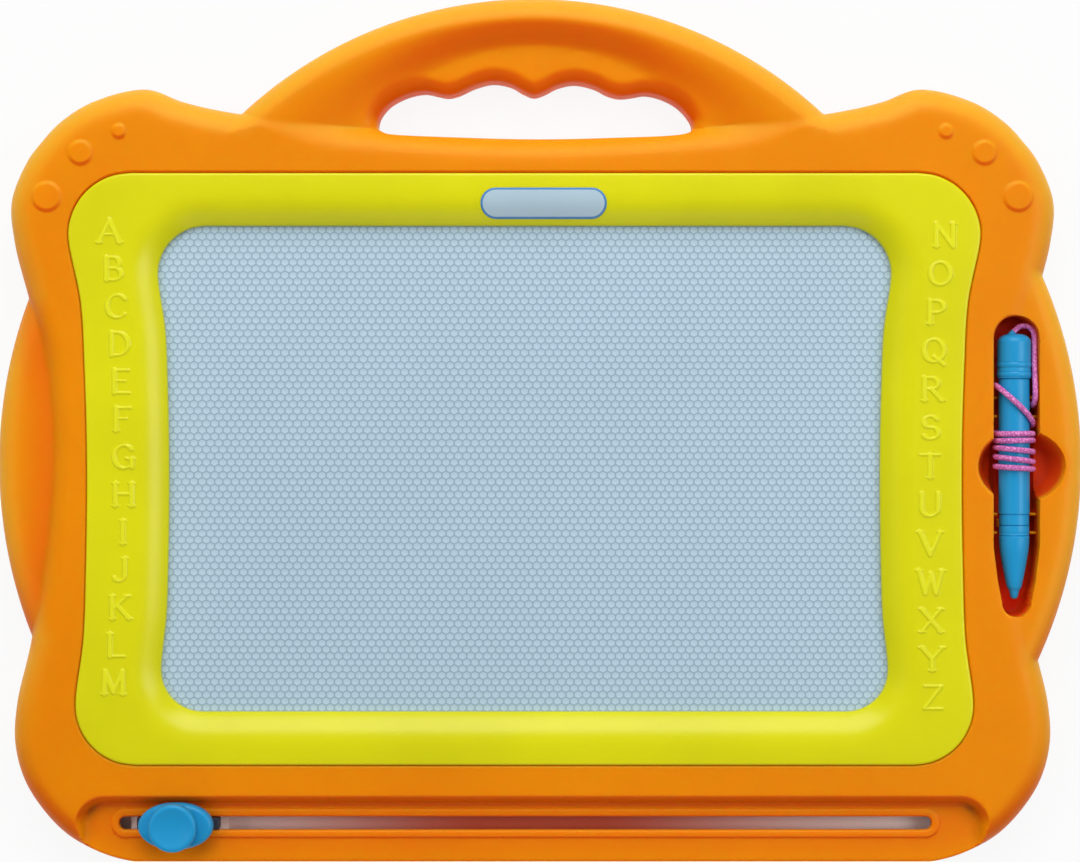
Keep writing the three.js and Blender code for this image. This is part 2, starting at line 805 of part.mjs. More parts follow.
function frontShell() {
  const outer = frontOuter();
  const open = openFrame();
  const bezel = bezelFrame();
  const high = topZ + overrun;
  const opening = openingOutline();
  const trayWall = prism(trayOutline(wall), trayFloorZ - trayFloorThick, shelfZ);
  const dishWall = loft(dishLevels(wall)).intersect(outer);
  const thick = [
    prism(inset(opening, -wall), rearDepth, high),
    prism(trayOutline(wall), rearDepth, high),
    loft(dishLevels(wall)),
    prism(inset(bezel, -wall), ledgeBaseZ, high),
    loft([
      { outline: shelfOutline(shelfSlope - wall), z: shelfZ - wall },
      { outline: shelfOutline(-wall), z: high },
    ]),
  ];
  const bosses = bossSpots().map(([x, y]) => {
    return post(x, y, rearDepth, high, bossRadius, bossSides).intersect(outer);
  });
  const posts = postSpots().map(([x, y]) => post(x, y, backFilmZ, ledgeZ, postRadius, bossSides));
  const bead = prism(slotOutline(beadWidth), shelfZ - wall, beadZ);
  const pilot = screwShaftRadius + fitGap;
  const bossTop = counterboreDepth + shellScrewLength + fitGap;
  const shell = union([cut(outer, [cut(frontCavity(), thick)]), trayWall, dishWall, ...bosses, ...posts]);
  const pockets = [
    prism(opening, rearDepth - overrun, high),
    prism(inset(bezel, -fitGap), ledgeZ, high),
    prism(inset(open, -windowOffset), ledgeBaseZ - overrun, high),
    loft([
      { outline: shelfOutline(shelfSlope), z: shelfZ },
      { outline: shelfOutline(0), z: topZ },
      { outline: shelfOutline(0), z: high },
    ]),
    prism(trayOutline(0), trayFloorZ, high),
    loft(dishLevels(0)),
    ...bossSpots().map(([x, y]) => post(x, y, rearDepth - overrun, bossTop, pilot, pilotSides)),
    ...postSpots().map(([x, y]) => {
      return post(x, y, backFilmZ - overrun, retainerZ + retainerScrewLength + fitGap, pilot, pilotSides);
    }),
  ];
  const pocketed = union([cut(shell, pockets), bead, ...cradles(), ...penPads(), ...cornerDots()]);
  const hole = cordDiameter / 2 + tetherHoleGap;
  return cut(pocketed, [
    prism(slotOutline(0), rearDepth, high),
    post(tetherX, tetherY, rearFloor, penHeight, hole, pilotSides),
  ]);
}

function rearOuter() {
  const forms = [bodyAt(0), handleAt(0), wingAt(1, 0), wingAt(-1, 0)];
  return union(forms.map((form) => loft(backLevels(form, 0, rearDepth, backEdgeRadius, backEdgeSteps))));
}

function rearCavity() {
  const round = backEdgeRadius - rearFloor;
  const forms = [bodyAt(wall), handleAt(wall), wingAt(1, wall), wingAt(-1, wall)];
  const high = rearDepth + overrun;
  return union(forms.map((form) => loft(backLevels(form, rearFloor, high, round, backInnerSteps))));
}

function rails() {
  const left = slotLeftX - stripMargin;
  const right = slotRightX + stripMargin;
  const low = rearFloor / 2;
  const parts = [];
  for (const y of [slotY, stripUpperY]) {
    for (const side of [-1, 1]) {
      const middle = y + side * railSpread;
      parts.push(block(left, right, middle - railWidth / 2, middle + railWidth / 2, low, stripZ));
    }
  }
  for (const share of bracePlaceShares) {
    const middle = screenX + share * panelHalfWidth;
    const [near, far] = [slotY + railSpread, stripUpperY - railSpread];
    const half = braceWidth / 2;
    parts.push(block(middle - half, middle + half, near, far, low, rearFloor + braceHeight));
  }
  return parts;
}

function rearShell() {
  const outer = rearOuter();
  const opening = openingOutline();
  const cavity = cut(rearCavity(), [prism(inset(opening, -wall), 0, rearDepth + 2 * overrun)]);
  const columns = bossSpots().map(([x, y]) => {
    return post(x, y, 0, rearDepth, columnRadius, bossSides).intersect(outer);
  });
  const shell = union([cut(outer, [cavity]), ...columns, ...rails()]);
  const clearance = screwShaftRadius + fitGap;
  const bore = screwHeadRadius + fitGap;
  return cut(shell, [
    prism(opening, -overrun, rearDepth + overrun),
    ...bossSpots().map(([x, y]) => post(x, y, -overrun, counterboreDepth, bore, bossSides)),
    ...bossSpots().map(([x, y]) => post(x, y, 0, rearDepth + overrun, clearance, pilotSides)),
  ]);
}

function bezelTopAt(offset) {
  const share = Math.max(0, 1 - offset / bezelSlope);
  return topZ + bezelProud - bezelSlopeFall * share ** bezelSlopePower;
}

function bezelSolid() {
  const open = openFrame();
  const bezel = bezelFrame();
  const top = topZ + bezelProud;
  const at = (offset, z) => ({ outline: inset(open, -offset), z });
  const slope = bezelSlopeShares.map((share) => bezelSlope * share);
  const hollow = bezelSlope * bezelHollowShare;
  const lipZ = ledgeZ - lipDrop;
  const ring = ringLoft([
    { outline: bezel, z: ledgeZ },
    { outline: bezel, z: top - bezelRim },
    { outline: inset(bezel, bezelRim), z: top },
    ...slope.map((offset) => at(offset, bezelTopAt(offset))),
    at(0, frontFilmTopZ),
    at(bezelFoot, frontFilmTopZ),
    at(hollow, bezelTopAt(hollow) - bezelSkin),
    at(bezelSlope * bezelShoulderShare, ledgeZ),
    at(lipOffset, ledgeZ),
    at(lipOffset, lipZ),
    at(lipOffset + lipThick, lipZ),
    at(lipOffset + lipThick, ledgeZ),
  ]);
  return union([ring, ...barbs(lipZ)]);
}

// Barbs under the lip catch the shell's ledge from behind.
function barbs(lipZ) {
  const high = Math.min(lipZ + barbHeight, ledgeBaseZ - fitGap);
  const parts = [];
  const near = lipOffset + lipThick / 2;
  const far = lipOffset + lipThick + barbReach;
  const half = barbLength / 2;
  for (const share of barbPlaceShares) {
    for (const side of [-1, 1]) {
      const x = screenX + share * openTopHalf;
      const rows = [near, far].map((reach) => screenY + side * (openHalfHeight + reach));
      parts.push(block(x - half, x + half, Math.min(...rows), Math.max(...rows), lipZ, high));
    }
  }
  return parts;
}

function screenPanel(low, high) {
  const outline = roundedRectangle(
    screenX, screenY, panelHalfWidth, panelHalfHeight, panelRadius, panelSteps,
  );
  return prism(outline, low, high);
}

function retainer() {
  const outer = roundedRectangle(
    screenX, screenY, retainerHalfWidth, retainerHalfHeight, retainerRadius, panelSteps,
  );
  const inner = roundedRectangle(
    screenX, screenY, retainerOpenHalfWidth, retainerOpenHalfHeight, retainerRadius / 2, panelSteps,
  );
  return cut(prism(outer, retainerZ, backFilmZ), [
    prism(inner, retainerZ - overrun, backFilmZ + overrun),
    ...postSpots().map(([x, y]) => {
      return post(x, y, retainerZ - overrun, backFilmZ + overrun, screwShaftRadius + fitGap, pilotSides);
    }),
  ]);
}

function strip(y) {
  const left = slotLeftX - stripMargin;
  const right = slotRightX + stripMargin;
  return block(left, right, y - stripWidth / 2, y + stripWidth / 2, stripZ, stripTopZ);
}

// A pan-head screw whose head sits below its seat, with a cross recess.
function screw(x, y, seat, length) {
  const low = seat - screwHeadHeight;
  const head = [
    pair(0, low), pair(screwHeadRadius * screwCrownShare, low),
    pair(screwHeadRadius, low + screwHeadHeight / 2),
    pair(screwHeadRadius, seat), pair(screwShaftRadius, seat),
    pair(screwShaftRadius, seat + length - screwShaftRadius), pair(0, seat + length),
  ];
  const geometry = new THREE.LatheGeometry(head, screwSides);
  geometry.rotateX(Math.PI / 2);
  geometry.translate(x, y, 0);
  const [span, width] = [screwRecessSpan / 2, screwRecessWidth / 2];
  const deep = low + screwRecessDepth;
  return cut(solidFrom(geometry), [
    block(x - span, x + span, y - width, y + width, low - overrun, deep),
    block(x - width, x + width, y - span, y + span, low - overrun, deep),
  ]);
}

// The knob's base is a lens: two arcs that meet in rounded ends.
function knobOutline() {
  const spots = [];
  for (let i = 0; i < knobSides; i += 1) {
    const angle = 2 * Math.PI * i / knobSides;
    const x = Math.sign(Math.cos(angle)) * Math.abs(Math.cos(angle)) ** knobLongPower * knobHalfLength;
    const y = Math.sign(Math.sin(angle)) * Math.abs(Math.sin(angle)) ** knobShortPower * knobHalfWidth;
    spots.push(pair(knobX + x, slotY + y));
  }
  return spots;
}

function knobScrewSpots() {
  return [-1, 1].map((side) => [knobX + side * knobScrewSpread, slotY]);
}

function knob() {
  const baseZ = knobZ + knobNeckHeight;
  const baseTop = baseZ + knobBaseHeight;
  const discTop = baseTop + knobDiscHeight;
  const rim = arc(knobX, slotY, knobDiscRadius, knobDiscRadius, 0, 2 * Math.PI, knobDiscSides);
  const disc = rim.slice(0, knobDiscSides);
  const base = knobOutline();
  const baseAt = (depth) => inset(base, depth);
  const discAt = (depth) => inset(disc, depth);
  const solid = union([
    prism(inset(base, knobNeckInset), knobZ, baseZ + overrun),
    loft(frontLevels(baseAt, baseZ, baseTop, knobBaseEdge, knobEdgeSteps)),
    loft(frontLevels(discAt, baseTop - overrun, discTop, knobDiscEdge, knobEdgeSteps)),
  ]);
  const top = knobZ + knobScrewReach + fitGap;
  return cut(solid, knobScrewSpots().map(([x, y]) => {
    return post(x, y, knobZ - overrun, top, screwShaftRadius + fitGap, pilotSides);
  }));
}

function slider() {
  const half = slotWidth / 2 - fitGap;
  const reach = blockLength / 2;
  const body = block(knobX - reach, knobX + reach, slotY - half, slotY + half, armTopZ, knobZ);
  return cut(body, knobScrewSpots().map(([x, y]) => {
    return post(x, y, armTopZ - overrun, knobZ + overrun, screwShaftRadius + fitGap, pilotSides);
  }));
}

function arm() {
  const foot = armFootLength / 2;
  const neck = armWidth / 2;
  const solid = union([
    block(knobX - foot, knobX + foot, slotY - armFootDepth / 2, slotY + armFootDepth / 2, armZ, armTopZ),
    block(knobX - neck, knobX + neck, slotY, armTopY, armZ, armTopZ),
  ]);
  const seat = armZ + screwHeadHeight + fitGap;
  return cut(solid, knobScrewSpots().flatMap(([x, y]) => [
    post(x, y, armZ - overrun, seat, screwHeadRadius + fitGap, bossSides),
    post(x, y, armZ, armTopZ + overrun, screwShaftRadius + fitGap, pilotSides),
  ]));
}

function eraserMagnet() {
  const half = magnetWidth / 2;
  const [low, high] = [screenY - magnetHalfLength, screenY + magnetHalfLength];
  return block(knobX - half, knobX + half, low, high, armTopZ, armTopZ + magnetThick);
}

function fromPenAxis([x, y, z]) {
  return new THREE.Vector3(penX + x, y, penHeight + z);
}

function alongPen(profile) {
  const geometry = new THREE.LatheGeometry(profile, penSides);
  geometry.translate(penX, 0, penHeight);
  return solidFrom(geometry);
}

function barrel() {
  const band = barrelRadius - bandSink;
  return alongPen([
    pair(barrelBore, noseTopY), pair(band, noseTopY), pair(band, bandTopY),
    pair(barrelRadius, bandTopY + bandSink), pair(barrelRadius, barrelTopY),
    pair(barrelBore, barrelTopY), pair(barrelBore, noseTopY),
  ]);
}

function endCap() {
  const spigot = barrelBore - fitGap;
  const profile = [pair(0, barrelTopY - spigotLength), pair(spigot, barrelTopY - spigotLength)];
  profile.push(pair(spigot, barrelTopY), pair(capRadius, barrelTopY));
  for (const share of capRingPlaceShares) {
    const place = barrelTopY + (capTopY - barrelTopY) * share;
    profile.push(pair(capRadius, place - capRingHalf), pair(capRadius + capRingRise, place));
    profile.push(pair(capRadius, place + capRingHalf));
  }
  const shoulder = capTopY - capDome;
  const dome = capDomeShares.map(([size, rise]) => pair(capRadius * size, shoulder + capDome * rise));
  profile.push(pair(capRadius, shoulder), ...dome, pair(0, capTopY));
  return alongPen(profile).add(eyelet());
}

// The cord leaves the cap's dome by an eyelet that points along the cord's first stretch.
function eyelet() {
  const start = fromPenAxis(cordLead[0]);
  const along = fromPenAxis(cordLead[1]).sub(start).normalize();
  const low = start.clone().addScaledVector(along, -fitGap - eyeletRise - capDome / 2);
  const high = start.clone().addScaledVector(along, -fitGap);
  const length = high.distanceTo(low);
  const geometry = new THREE.CylinderGeometry(eyeletRadius, eyeletRadius, length, eyeletSides);
  geometry.applyQuaternion(new THREE.Quaternion().setFromUnitVectors(new THREE.Vector3(0, 1, 0), along));
  const middle = low.add(high).multiplyScalar(1 / 2);
  geometry.translate(middle.x, middle.y, middle.z);
  return solidFrom(geometry);
}

function noseY(share) {
  return noseTopY + (noseTipY - noseTopY) * share;
}

function penNose() {
  const band = barrelRadius - bandSink;
  const bore = nibShankRadius + fitGap;
  const shoulder = noseTipY + nibShankLength + fitGap;
  const spigot = barrelBore - fitGap;
  const skin = noseShares.map(([size, down]) => pair(size * barrelRadius, noseY(down)));
  return alongPen([
    pair(bore, noseTipY), pair(noseTipRadius, noseTipY), ...skin.reverse(),
    pair(band, noseTopY), pair(spigot, noseTopY), pair(spigot, noseTopY + spigotLength),
    pair(noseBore, noseTopY + spigotLength), pair(noseBore, shoulder + noseBore), pair(bore, shoulder),
    pair(bore, noseTipY),
  ]);
}

function penNib() {
  const tip = nibTipShares.map(([size, down]) => pair(nibTipRadius * size, noseTipY - nibLength * down));
  return alongPen([
    pair(0, noseTipY - nibLength), ...tip, pair(noseTipRadius - fitGap, noseTipY),
    pair(nibShankRadius, noseTipY), pair(nibShankRadius, noseTipY + nibShankLength),
    pair(0, noseTipY + nibShankLength),
  ]);
}

function penMagnet() {
  const low = noseTipY + nibShankLength + fitGap + noseBore;
  return alongPen([
    pair(0, low), pair(penMagnetRadius, low), pair(penMagnetRadius, low + penMagnetLength),
    pair(0, low + penMagnetLength),
  ]);
}

// Height along the pen, half a turn between crossings, with smooth slopes through each crossing.
function windingY(turn) {
  const k = Math.min(Math.floor(turn), crossings.length - 2);
  const t = turn - k;
  const [start, end] = [crossings[k], crossings[k + 1]];
  const before = k > 0 ? crossings[k - 1] : end;
  const after = k + 2 < crossings.length ? crossings[k + 2] : end;
  const [pullStart, pullEnd] = [(end - before) * pullShare, (after - start) * pullShare];
  const [t2, t3] = [t * t, t * t * t];
  return (2 * t3 - 3 * t2 + 1) * start + (t3 - 2 * t2 + t) * pullStart
    + (3 * t2 - 2 * t3) * end + (t3 - t2) * pullEnd;
}

function windingPoints() {
  const halfTurns = crossings.length - 1;
  const steps = halfTurns * stepsPerLoop / 2;
  const points = [];
  for (let i = 0; i <= steps; i += 1) {
    const turn = halfTurns * i / steps;
    const angle = -Math.PI * turn;
    points.push(new THREE.Vector3(
      penX + windRadius * Math.cos(angle), windingY(turn), penHeight + windRadius * Math.sin(angle),
    ));
  }
  const end = points[points.length - 1];
  points.push(new THREE.Vector3(end.x, end.y, end.z - cordDiameter));
  return points;
}

function cordRoute() {
  const spots = [...cordLead.map(fromPenAxis), windingPoints()[0]];
  const lead = new THREE.CatmullRomCurve3(spots, false, 'centripetal');
  const length = lead.getLength();
  const steps = Math.round(length / cordDiameter);
  return [...lead.getSpacedPoints(steps).slice(0, steps), ...windingPoints()];
}

// A closed tube along points: its section is carried along without twist.
function tube(points, radius, sides) {
  const positions = [];
  const index = [];
  const ahead = (i) => {
    const before = points[Math.max(i - 1, 0)];
    const after = points[Math.min(i + 1, points.length - 1)];
    return after.clone().sub(before).normalize();
  };
  let side = new THREE.Vector3(0, 0, 1).cross(ahead(0)).normalize();
  points.forEach((point, i) => {
    const along = ahead(i);
    side = side.sub(along.clone().multiplyScalar(side.dot(along))).normalize();
    const up = along.clone().cross(side);
    for (let k = 0; k < sides; k += 1) {
      const angle = 2 * Math.PI * k / sides;
      const spot = point.clone().addScaledVector(side, radius * Math.cos(angle));
      spot.addScaledVector(up, radius * Math.sin(angle));
      positions.push(spot.x, spot.y, spot.z);
    }
  });
  for (let i = 0; i + 1 < points.length; i += 1) index.push(...bandFaces(sides, i, i + 1));
  const last = (points.length - 1) * sides;
  for (let k = 1; k + 1 < sides; k += 1) {
    index.push(0, k + 1, k);
    index.push(last, last + k, last + k + 1);
  }
  const geometry = new THREE.BufferGeometry();
  geometry.setAttribute('position', new THREE.Float32BufferAttribute(positions, 3));
  geometry.setIndex(index);
  geometry.computeVertexNormals();
  return geometry;
}

// Least gap between stretches of the cord that lie over half a loop apart along it.
function leastGap(points, diameter) {
  const apart = stepsPerLoop / 2;
  let least = Infinity;
  for (let i = 0; i < points.length; i += 1) {
    for (let k = i + apart; k < points.length; k += 1) {
      least = Math.min(least, points[i].distanceTo(points[k]) - diameter);
    }
  }
  return least;
}

function cordTether() {
  const top = penHeight - cordDiameter - fitGap;
  const knotZ = trayFloorZ - trayFloorThick - fitGap - knotRadius;
  const knot = new THREE.SphereGeometry(knotRadius, knotSides, knotRings);
  knot.rotateX(Math.PI / 2);
  knot.translate(tetherX, tetherY, knotZ);
  return union([post(tetherX, tetherY, knotZ, top, cordDiameter / 2, tetherSides), solidFrom(knot)]);
}

function plastic(color, roughness) {
  return new THREE.MeshStandardMaterial({ color, roughness, metalness: 0 });
}

const orange = plastic(0xf0860e, 0.42);
const yellow = plastic(0xdcd812, 0.38);
const blue = plastic(0x1f97cc, 0.4);
const film = plastic(0xa9c1d2, 0.25);
const core = plastic(0x9fb4c2, 0.6);
const darkPlastic = plastic(0x1c2a3c, 0.5);
const greyPlastic = plastic(0xc9c4c0, 0.45);
const magnet = plastic(0x2b2b2e, 0.7);
const cordNylon = plastic(0xce74ba, 0.8);
const steel = new THREE.MeshStandardMaterial({ color: 0xb9bcc0, roughness: 0.35, metalness: 1 });

const board = new THREE.Group();
const eraser = new THREE.Group();
const pen = new THREE.Group();
board.add(eraser, pen);

function place(group, name, geometry, material) {
  const mesh = new THREE.Mesh(geometry, material);
  mesh.name = name;
  group.add(mesh);
}

place(board, 'front_shell', geometryOf(frontShell()), orange);
place(board, 'rear_shell', geometryOf(rearShell()), orange);
place(board, 'bezel_frame', geometryOf(bezelSolid()), yellow);
place(board, 'screen_front_film', geometryOf(screenPanel(frontFilmZ, frontFilmTopZ)), film);
place(board, 'screen_cell_core', geometryOf(screenPanel(coreZ, frontFilmZ)), core);
place(board, 'screen_back_film', geometryOf(screenPanel(backFilmZ, coreZ)), film);
place(board, 'screen_retainer', geometryOf(retainer()), greyPlastic);
place(board, 'lower_glide_strip', geometryOf(strip(slotY)), greyPlastic);
place(board, 'upper_glide_strip', geometryOf(strip(stripUpperY)), greyPlastic);
bossSpots().forEach(([x, y], i) => {
  place(board, `shell_screw_${i + 1}`, geometryOf(screw(x, y, counterboreDepth, shellScrewLength)), steel);
});
postSpots().forEach(([x, y], i) => {
  place(board, `retainer_screw_${i + 1}`, geometryOf(screw(x, y, retainerZ, retainerScrewLength)), steel);
});
place(board, 'cord_tether', geometryOf(cordTether()), cordNylon);

place(eraser, 'slider_knob', geometryOf(knob()), blue);
place(eraser, 'slider_block', geometryOf(slider()), darkPlastic);
place(eraser, 'eraser_arm', geometryOf(arm()), greyPlastic);
place(eraser, 'eraser_magnet', geometryOf(eraserMagnet()), magnet);
knobScrewSpots().forEach(([x, y], i) => {
  const seat = armZ + screwHeadHeight + fitGap;
  const length = knobZ + knobScrewReach - seat;
  place(eraser, `knob_screw_${i + 1}`, geometryOf(screw(x, y, seat, length)), steel);
});

place(pen, 'pen_barrel', geometryOf(barrel()), blue);
place(pen, 'pen_end_cap', geometryOf(endCap()), blue);
place(pen, 'pen_nose', geometryOf(penNose()), blue);
place(pen, 'pen_nib', geometryOf(penNib()), blue);
place(pen, 'pen_magnet', geometryOf(penMagnet()), magnet);
place(pen, 'cord_winding', tube(cordRoute(), cordDiameter / 2, cordSides), cordNylon);

console.log(`least gap of the wound cord to itself: ${leastGap(cordRoute(), cordDiameter).toFixed(2)} mm`);

export default board;
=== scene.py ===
import json
import math
import bmesh
import bpy
import numpy as np
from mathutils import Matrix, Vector
from mathutils.geometry import delaunay_2d_cdt

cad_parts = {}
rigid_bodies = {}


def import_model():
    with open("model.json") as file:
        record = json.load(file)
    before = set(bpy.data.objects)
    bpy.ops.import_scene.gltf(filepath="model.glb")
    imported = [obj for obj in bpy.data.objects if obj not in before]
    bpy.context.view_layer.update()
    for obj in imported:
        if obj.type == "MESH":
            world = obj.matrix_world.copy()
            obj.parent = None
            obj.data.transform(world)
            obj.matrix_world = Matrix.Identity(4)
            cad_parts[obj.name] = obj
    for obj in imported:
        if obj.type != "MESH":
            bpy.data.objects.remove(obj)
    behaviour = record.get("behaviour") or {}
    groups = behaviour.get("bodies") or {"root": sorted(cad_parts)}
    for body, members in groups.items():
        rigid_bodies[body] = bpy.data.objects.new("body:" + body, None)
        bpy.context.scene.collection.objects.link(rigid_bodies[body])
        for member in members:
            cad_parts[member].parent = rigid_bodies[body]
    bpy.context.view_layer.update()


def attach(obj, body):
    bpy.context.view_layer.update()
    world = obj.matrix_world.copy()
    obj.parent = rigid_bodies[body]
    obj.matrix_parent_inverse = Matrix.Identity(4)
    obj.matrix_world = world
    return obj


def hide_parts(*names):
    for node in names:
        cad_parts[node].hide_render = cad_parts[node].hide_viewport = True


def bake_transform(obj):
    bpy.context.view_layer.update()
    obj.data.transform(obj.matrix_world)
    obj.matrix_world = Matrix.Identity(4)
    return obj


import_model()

# A magnetic drawing board lying on its back. Sizes are in millimetres until a mesh is made.
# X runs to the right, Y up the board to its handle, Z out of its face.
MM = 0.001
FAR = 1000.0
LEAST = 0.01
MERGE = 0.001
PLAN_MERGE = 1e-5
CELL_STRIDE = 1000003

# Steps along curves, and angles past which an edge stays sharp
SPLINE_STEPS = 24
FRAME_STEP = 1.0
OUTLINE_STEP = 0.9
FINE_STEP = 0.7
RING_STEP = 0.5
BORE_STEP = 0.45
SHARP_ANGLE = 40
TURNED_ANGLE = 30
CELL_ANGLE = 60
CORD_ANGLE = 70

# Steepness of a height past its outline, and how far out it goes on falling
CLIFF = 30.0
CLIFF_REACH = 9.0

# Whole board
HALF_WIDTH = 210.2
HALF_HEIGHT = 167.5
PARTING_Z = 9.0
TOP_Z = 24.0
WALL = 2.4
REAR_FLOOR = 2.2
GROOVE = 0.35
SEAM_LEVELS = (0.5, 0.15)
SEAT_GAP = 0.02
BLEND = 1.2
HANDLE_BLEND = 5.0

# Distances at which rings of spots run beside the edges of a relief
SLOT_RINGS = (0.12, 0.35, 0.8, 1.55, 2.3, 2.75, 2.98, 3.1, 3.3, 4)
BEZEL_SEAT_RINGS = (1.1, 0.9, 0.6, 0.3, 0.1, 0, -0.15, -0.6)
OPENING_RINGS = (0.15, 0.5, 1.1, 1.9, 2.8, 3.9, 5, 6, 7)
CREASE_RINGS = (1.5, 0.8, 0)
DISH_RING_SHARES = (0.35, 0.5, 0.6, 0.67, 0.74, 0.8, 0.86, 0.91, 0.95, 0.985, 1.02, 1.06, 1.1)
DOT_RINGS = (-0.2, 0, 0.3, 0.7, 1.1, 1.5, 1.9, 2.2, 3)
BORE_RADII = (2.6, 2.95, 3.05, 3.12, 3.2, 3.28, 3.42, 3.6)
SCREEN_SIDE_RINGS = (0.1, 0.3, 0.5, 1.2, 2.2, 3.4, 4.8, 6.4, 8.2, 10.2, 12.4, 14)
SIDE_RINGS = (5, 9)
TRAY_UNDER_RINGS = (-0.9, 0.4, 2.6)
DISH_UNDER_SHARE = 0.8
BEZEL_UNDER_RINGS = (5, 8, 14)

# Spots of a relief: least gap between two, pitch of the grid that fills up, and gap to the edges
FRONT_GAP, FRONT_PITCH, FRONT_UNDER_PITCH = 0.11, 2.6, 6
REAR_GAP, REAR_PITCH, REAR_UNDER_PITCH = 0.07, 5, 9
FACE_GAP, FACE_PITCH, FACE_UNDER_PITCH = 0.1, 4, 8
UNDER_GAP = 0.3
EDGE_GAP = 0.1
FINE_EDGE_GAP = 0.05
SLOT_EDGE_GAP = 0.08

# Step from a wall's inner side to the hollow behind it
WALL_STEP = 0.4
WALL_FOLD = 0.1

# Body of the case
BODY_SHIFT = -2.5
BODY_HALF_WIDTH = 202.6
BODY_EDGE = 11.0
BACK_EDGE = 4.0
BODY_SHARES = [
    (0, 0.679), (0.296, 0.696), (0.479, 0.721), (0.597, 0.7415), (0.671, 0.7625), (0.74, 0.791),
    (0.842, 0.7625), (0.904, 0.716), (0.941, 0.669), (0.969, 0.6227), (0.9985, 0.53), (0.993, 0.436),
    (0.965, 0.304), (0.937, 0.1815), (0.924, 0.057), (0.92, -0.0716), (0.933, -0.27), (0.9615, -0.49),
    (0.9885, -0.635), (0.9915, -0.728), (0.969, -0.821), (0.912, -0.914), (0.859, -0.9606),
    (0.77, -0.9985), (0.543, -1), (0.18, -1),
]

# Side wings
WING_RADIUS = 183.0
WING_Y = -12.7
WING_INNER_X = 163.0
WING_EDGE = 8.0
WING_STEPS = 300
WING_DROPS = {-1: 5.0, 1: 1.0}

# Carrying handle and its hand opening
HANDLE_RADIUS = 165.0
HANDLE_BAND = 59.0
HANDLE_HALF_ANGLE = 0.9
HANDLE_STEPS = 330
HANDLE_FOOT_Z = 14.4
CREST_DEPTH = 8.6
CREST_Z = 23.3
CREST_POWERS = (1.7, 0.6)
CREST_START = 0.6
CREST_STEPS = 300
LAND_Z = 18.3
LENS_RADIUS = 81.0
LENS_CENTRE = (-1.0, 67.0)
LENS_START = 0.5
LENS_STEPS = 260
OPENING_CENTRE = (-1.6, 114.6)
OPENING_HALF_WIDTH = 61.3
OPENING_HEIGHT = 21.0
OPENING_FILLET = 6.0
OPENING_SHARES = [
    (-0.945, 0.02), (-0.993, 0.14), (-0.985, 0.33), (-0.927, 0.56), (-0.85, 0.7), (-0.77, 0.785),
    (-0.69, 0.815), (-0.62, 0.775), (-0.555, 0.74), (-0.49, 0.775), (-0.37, 0.93), (-0.264, 1),
    (-0.15, 0.94), (-0.07, 0.81), (-0.005, 0.745), (0.06, 0.8), (0.146, 0.925), (0.253, 0.985),
    (0.374, 0.91), (0.46, 0.785), (0.532, 0.73), (0.61, 0.745), (0.7, 0.785), (0.803, 0.72),
    (0.9, 0.57), (0.965, 0.38), (0.998, 0.2), (0.99, 0.07), (0.94, 0), (0.45, -0.07), (0, -0.09),
    (-0.45, -0.06), (-0.89, -0.01),
]

# Raised dots on the corners, as places on the right half of the body and as radii
DOT_PLACE_SHARES = [(0.785, 0.687), (0.858, 0.638), (0.922, 0.537)]
DOT_RADII = [3.5, 5.4, 6.4]
DOT_RISE = 0.75
DOT_EDGE = 1.9

# Bezel and screen: half widths are at the top, the waist and the base
SCREEN_X = -5.6
SCREEN_Y = -14.8
WAIST_DROP = 4.0
BEZEL_HALF_WIDTHS = (175.4, 168.2, 172.6)
BEZEL_HALF_HEIGHT = 113.8
BEZEL_RADII = (24.0, 23.0)
OPEN_HALF_WIDTHS = (141.8, 137.4, 140.5)
OPEN_HALF_HEIGHT = 93.9
OPEN_RADII = (18.5, 16.0)
OPEN_LIP = 0.5
FRAME_MIDDLE = 10.0
FRAME_PINS = (3.0, 12.0)
BEZEL_Z = 25.0
LEDGE_Z = 22.0
SLOPE_WIDTH = 13.0
SLOPE_FALL = 5.8
SLOPE_POWER = 2.2
BEZEL_SKIN = 2.3
BEZEL_FOOT = 2.4
BEZEL_RIM = 1.1
BEZEL_GAP = 0.3
WINDOW_OFFSET = 15.9
FILM_TOP_Z = 17.2
FILM_THICK = 0.3
PANEL_HALF_WIDTH = 152.0
PANEL_HALF_HEIGHT = 102.0
CELL_WIDTH = 3.2
CELL_PITCH = 2.5
CELL_WALL = 0.3
CELL_SINK = 0.12
LATTICE_STEP = 0.05

# Bare label place on the bezel's slope
LABEL_CENTRE = (1.8, 87.4)
LABEL_HALF_WIDTH = 24.3
LABEL_HALF_HEIGHT = 5.9
LABEL_THICK = 0.25
LABEL_BORDER = 0.8
LABEL_ROUNDING = 0.2
LABEL_SEAT = 0.3
LABEL_FOOT_Z = 19.5
LABEL_INSET = 0.06
LABEL_LINE = 0.08
LABEL_SLACK = 0.03
LABEL_STEP = 0.5
LABEL_EDGE_GAP = 0.04
LABEL_PITCH = 1.5
LABEL_REACH = (60, 110)

# Lip, draft and fillet of each sunk place
SHELF_POCKET = (1.2, 1.6, 3.3)
TRAY_POCKET = (0.9, 0.4, 2.2)
BEZEL_POCKET = (0.9, 0.15, 0.3)
BORE_POCKET = (0.4, 0.1, 0.2)

# Shelf of the eraser and its slot
SHELF_Z = 17.0
SHELF_TOP_Y = -140.2
SHELF_LEFT_X = -179.4
SHELF_RIGHT_X = 174.3
SHELF_CORNER = 12.5
SHELF_LEAST_CORNER = 0.5
SLOT_Y = -152.1
SLOT_LEFT_X = -162.6
SLOT_RIGHT_X = 152.1
SLOT_HALF = 2.6
BEAD_WIDTH = 3.1
BEAD_RISE = 0.8
BEAD_POWER = 4

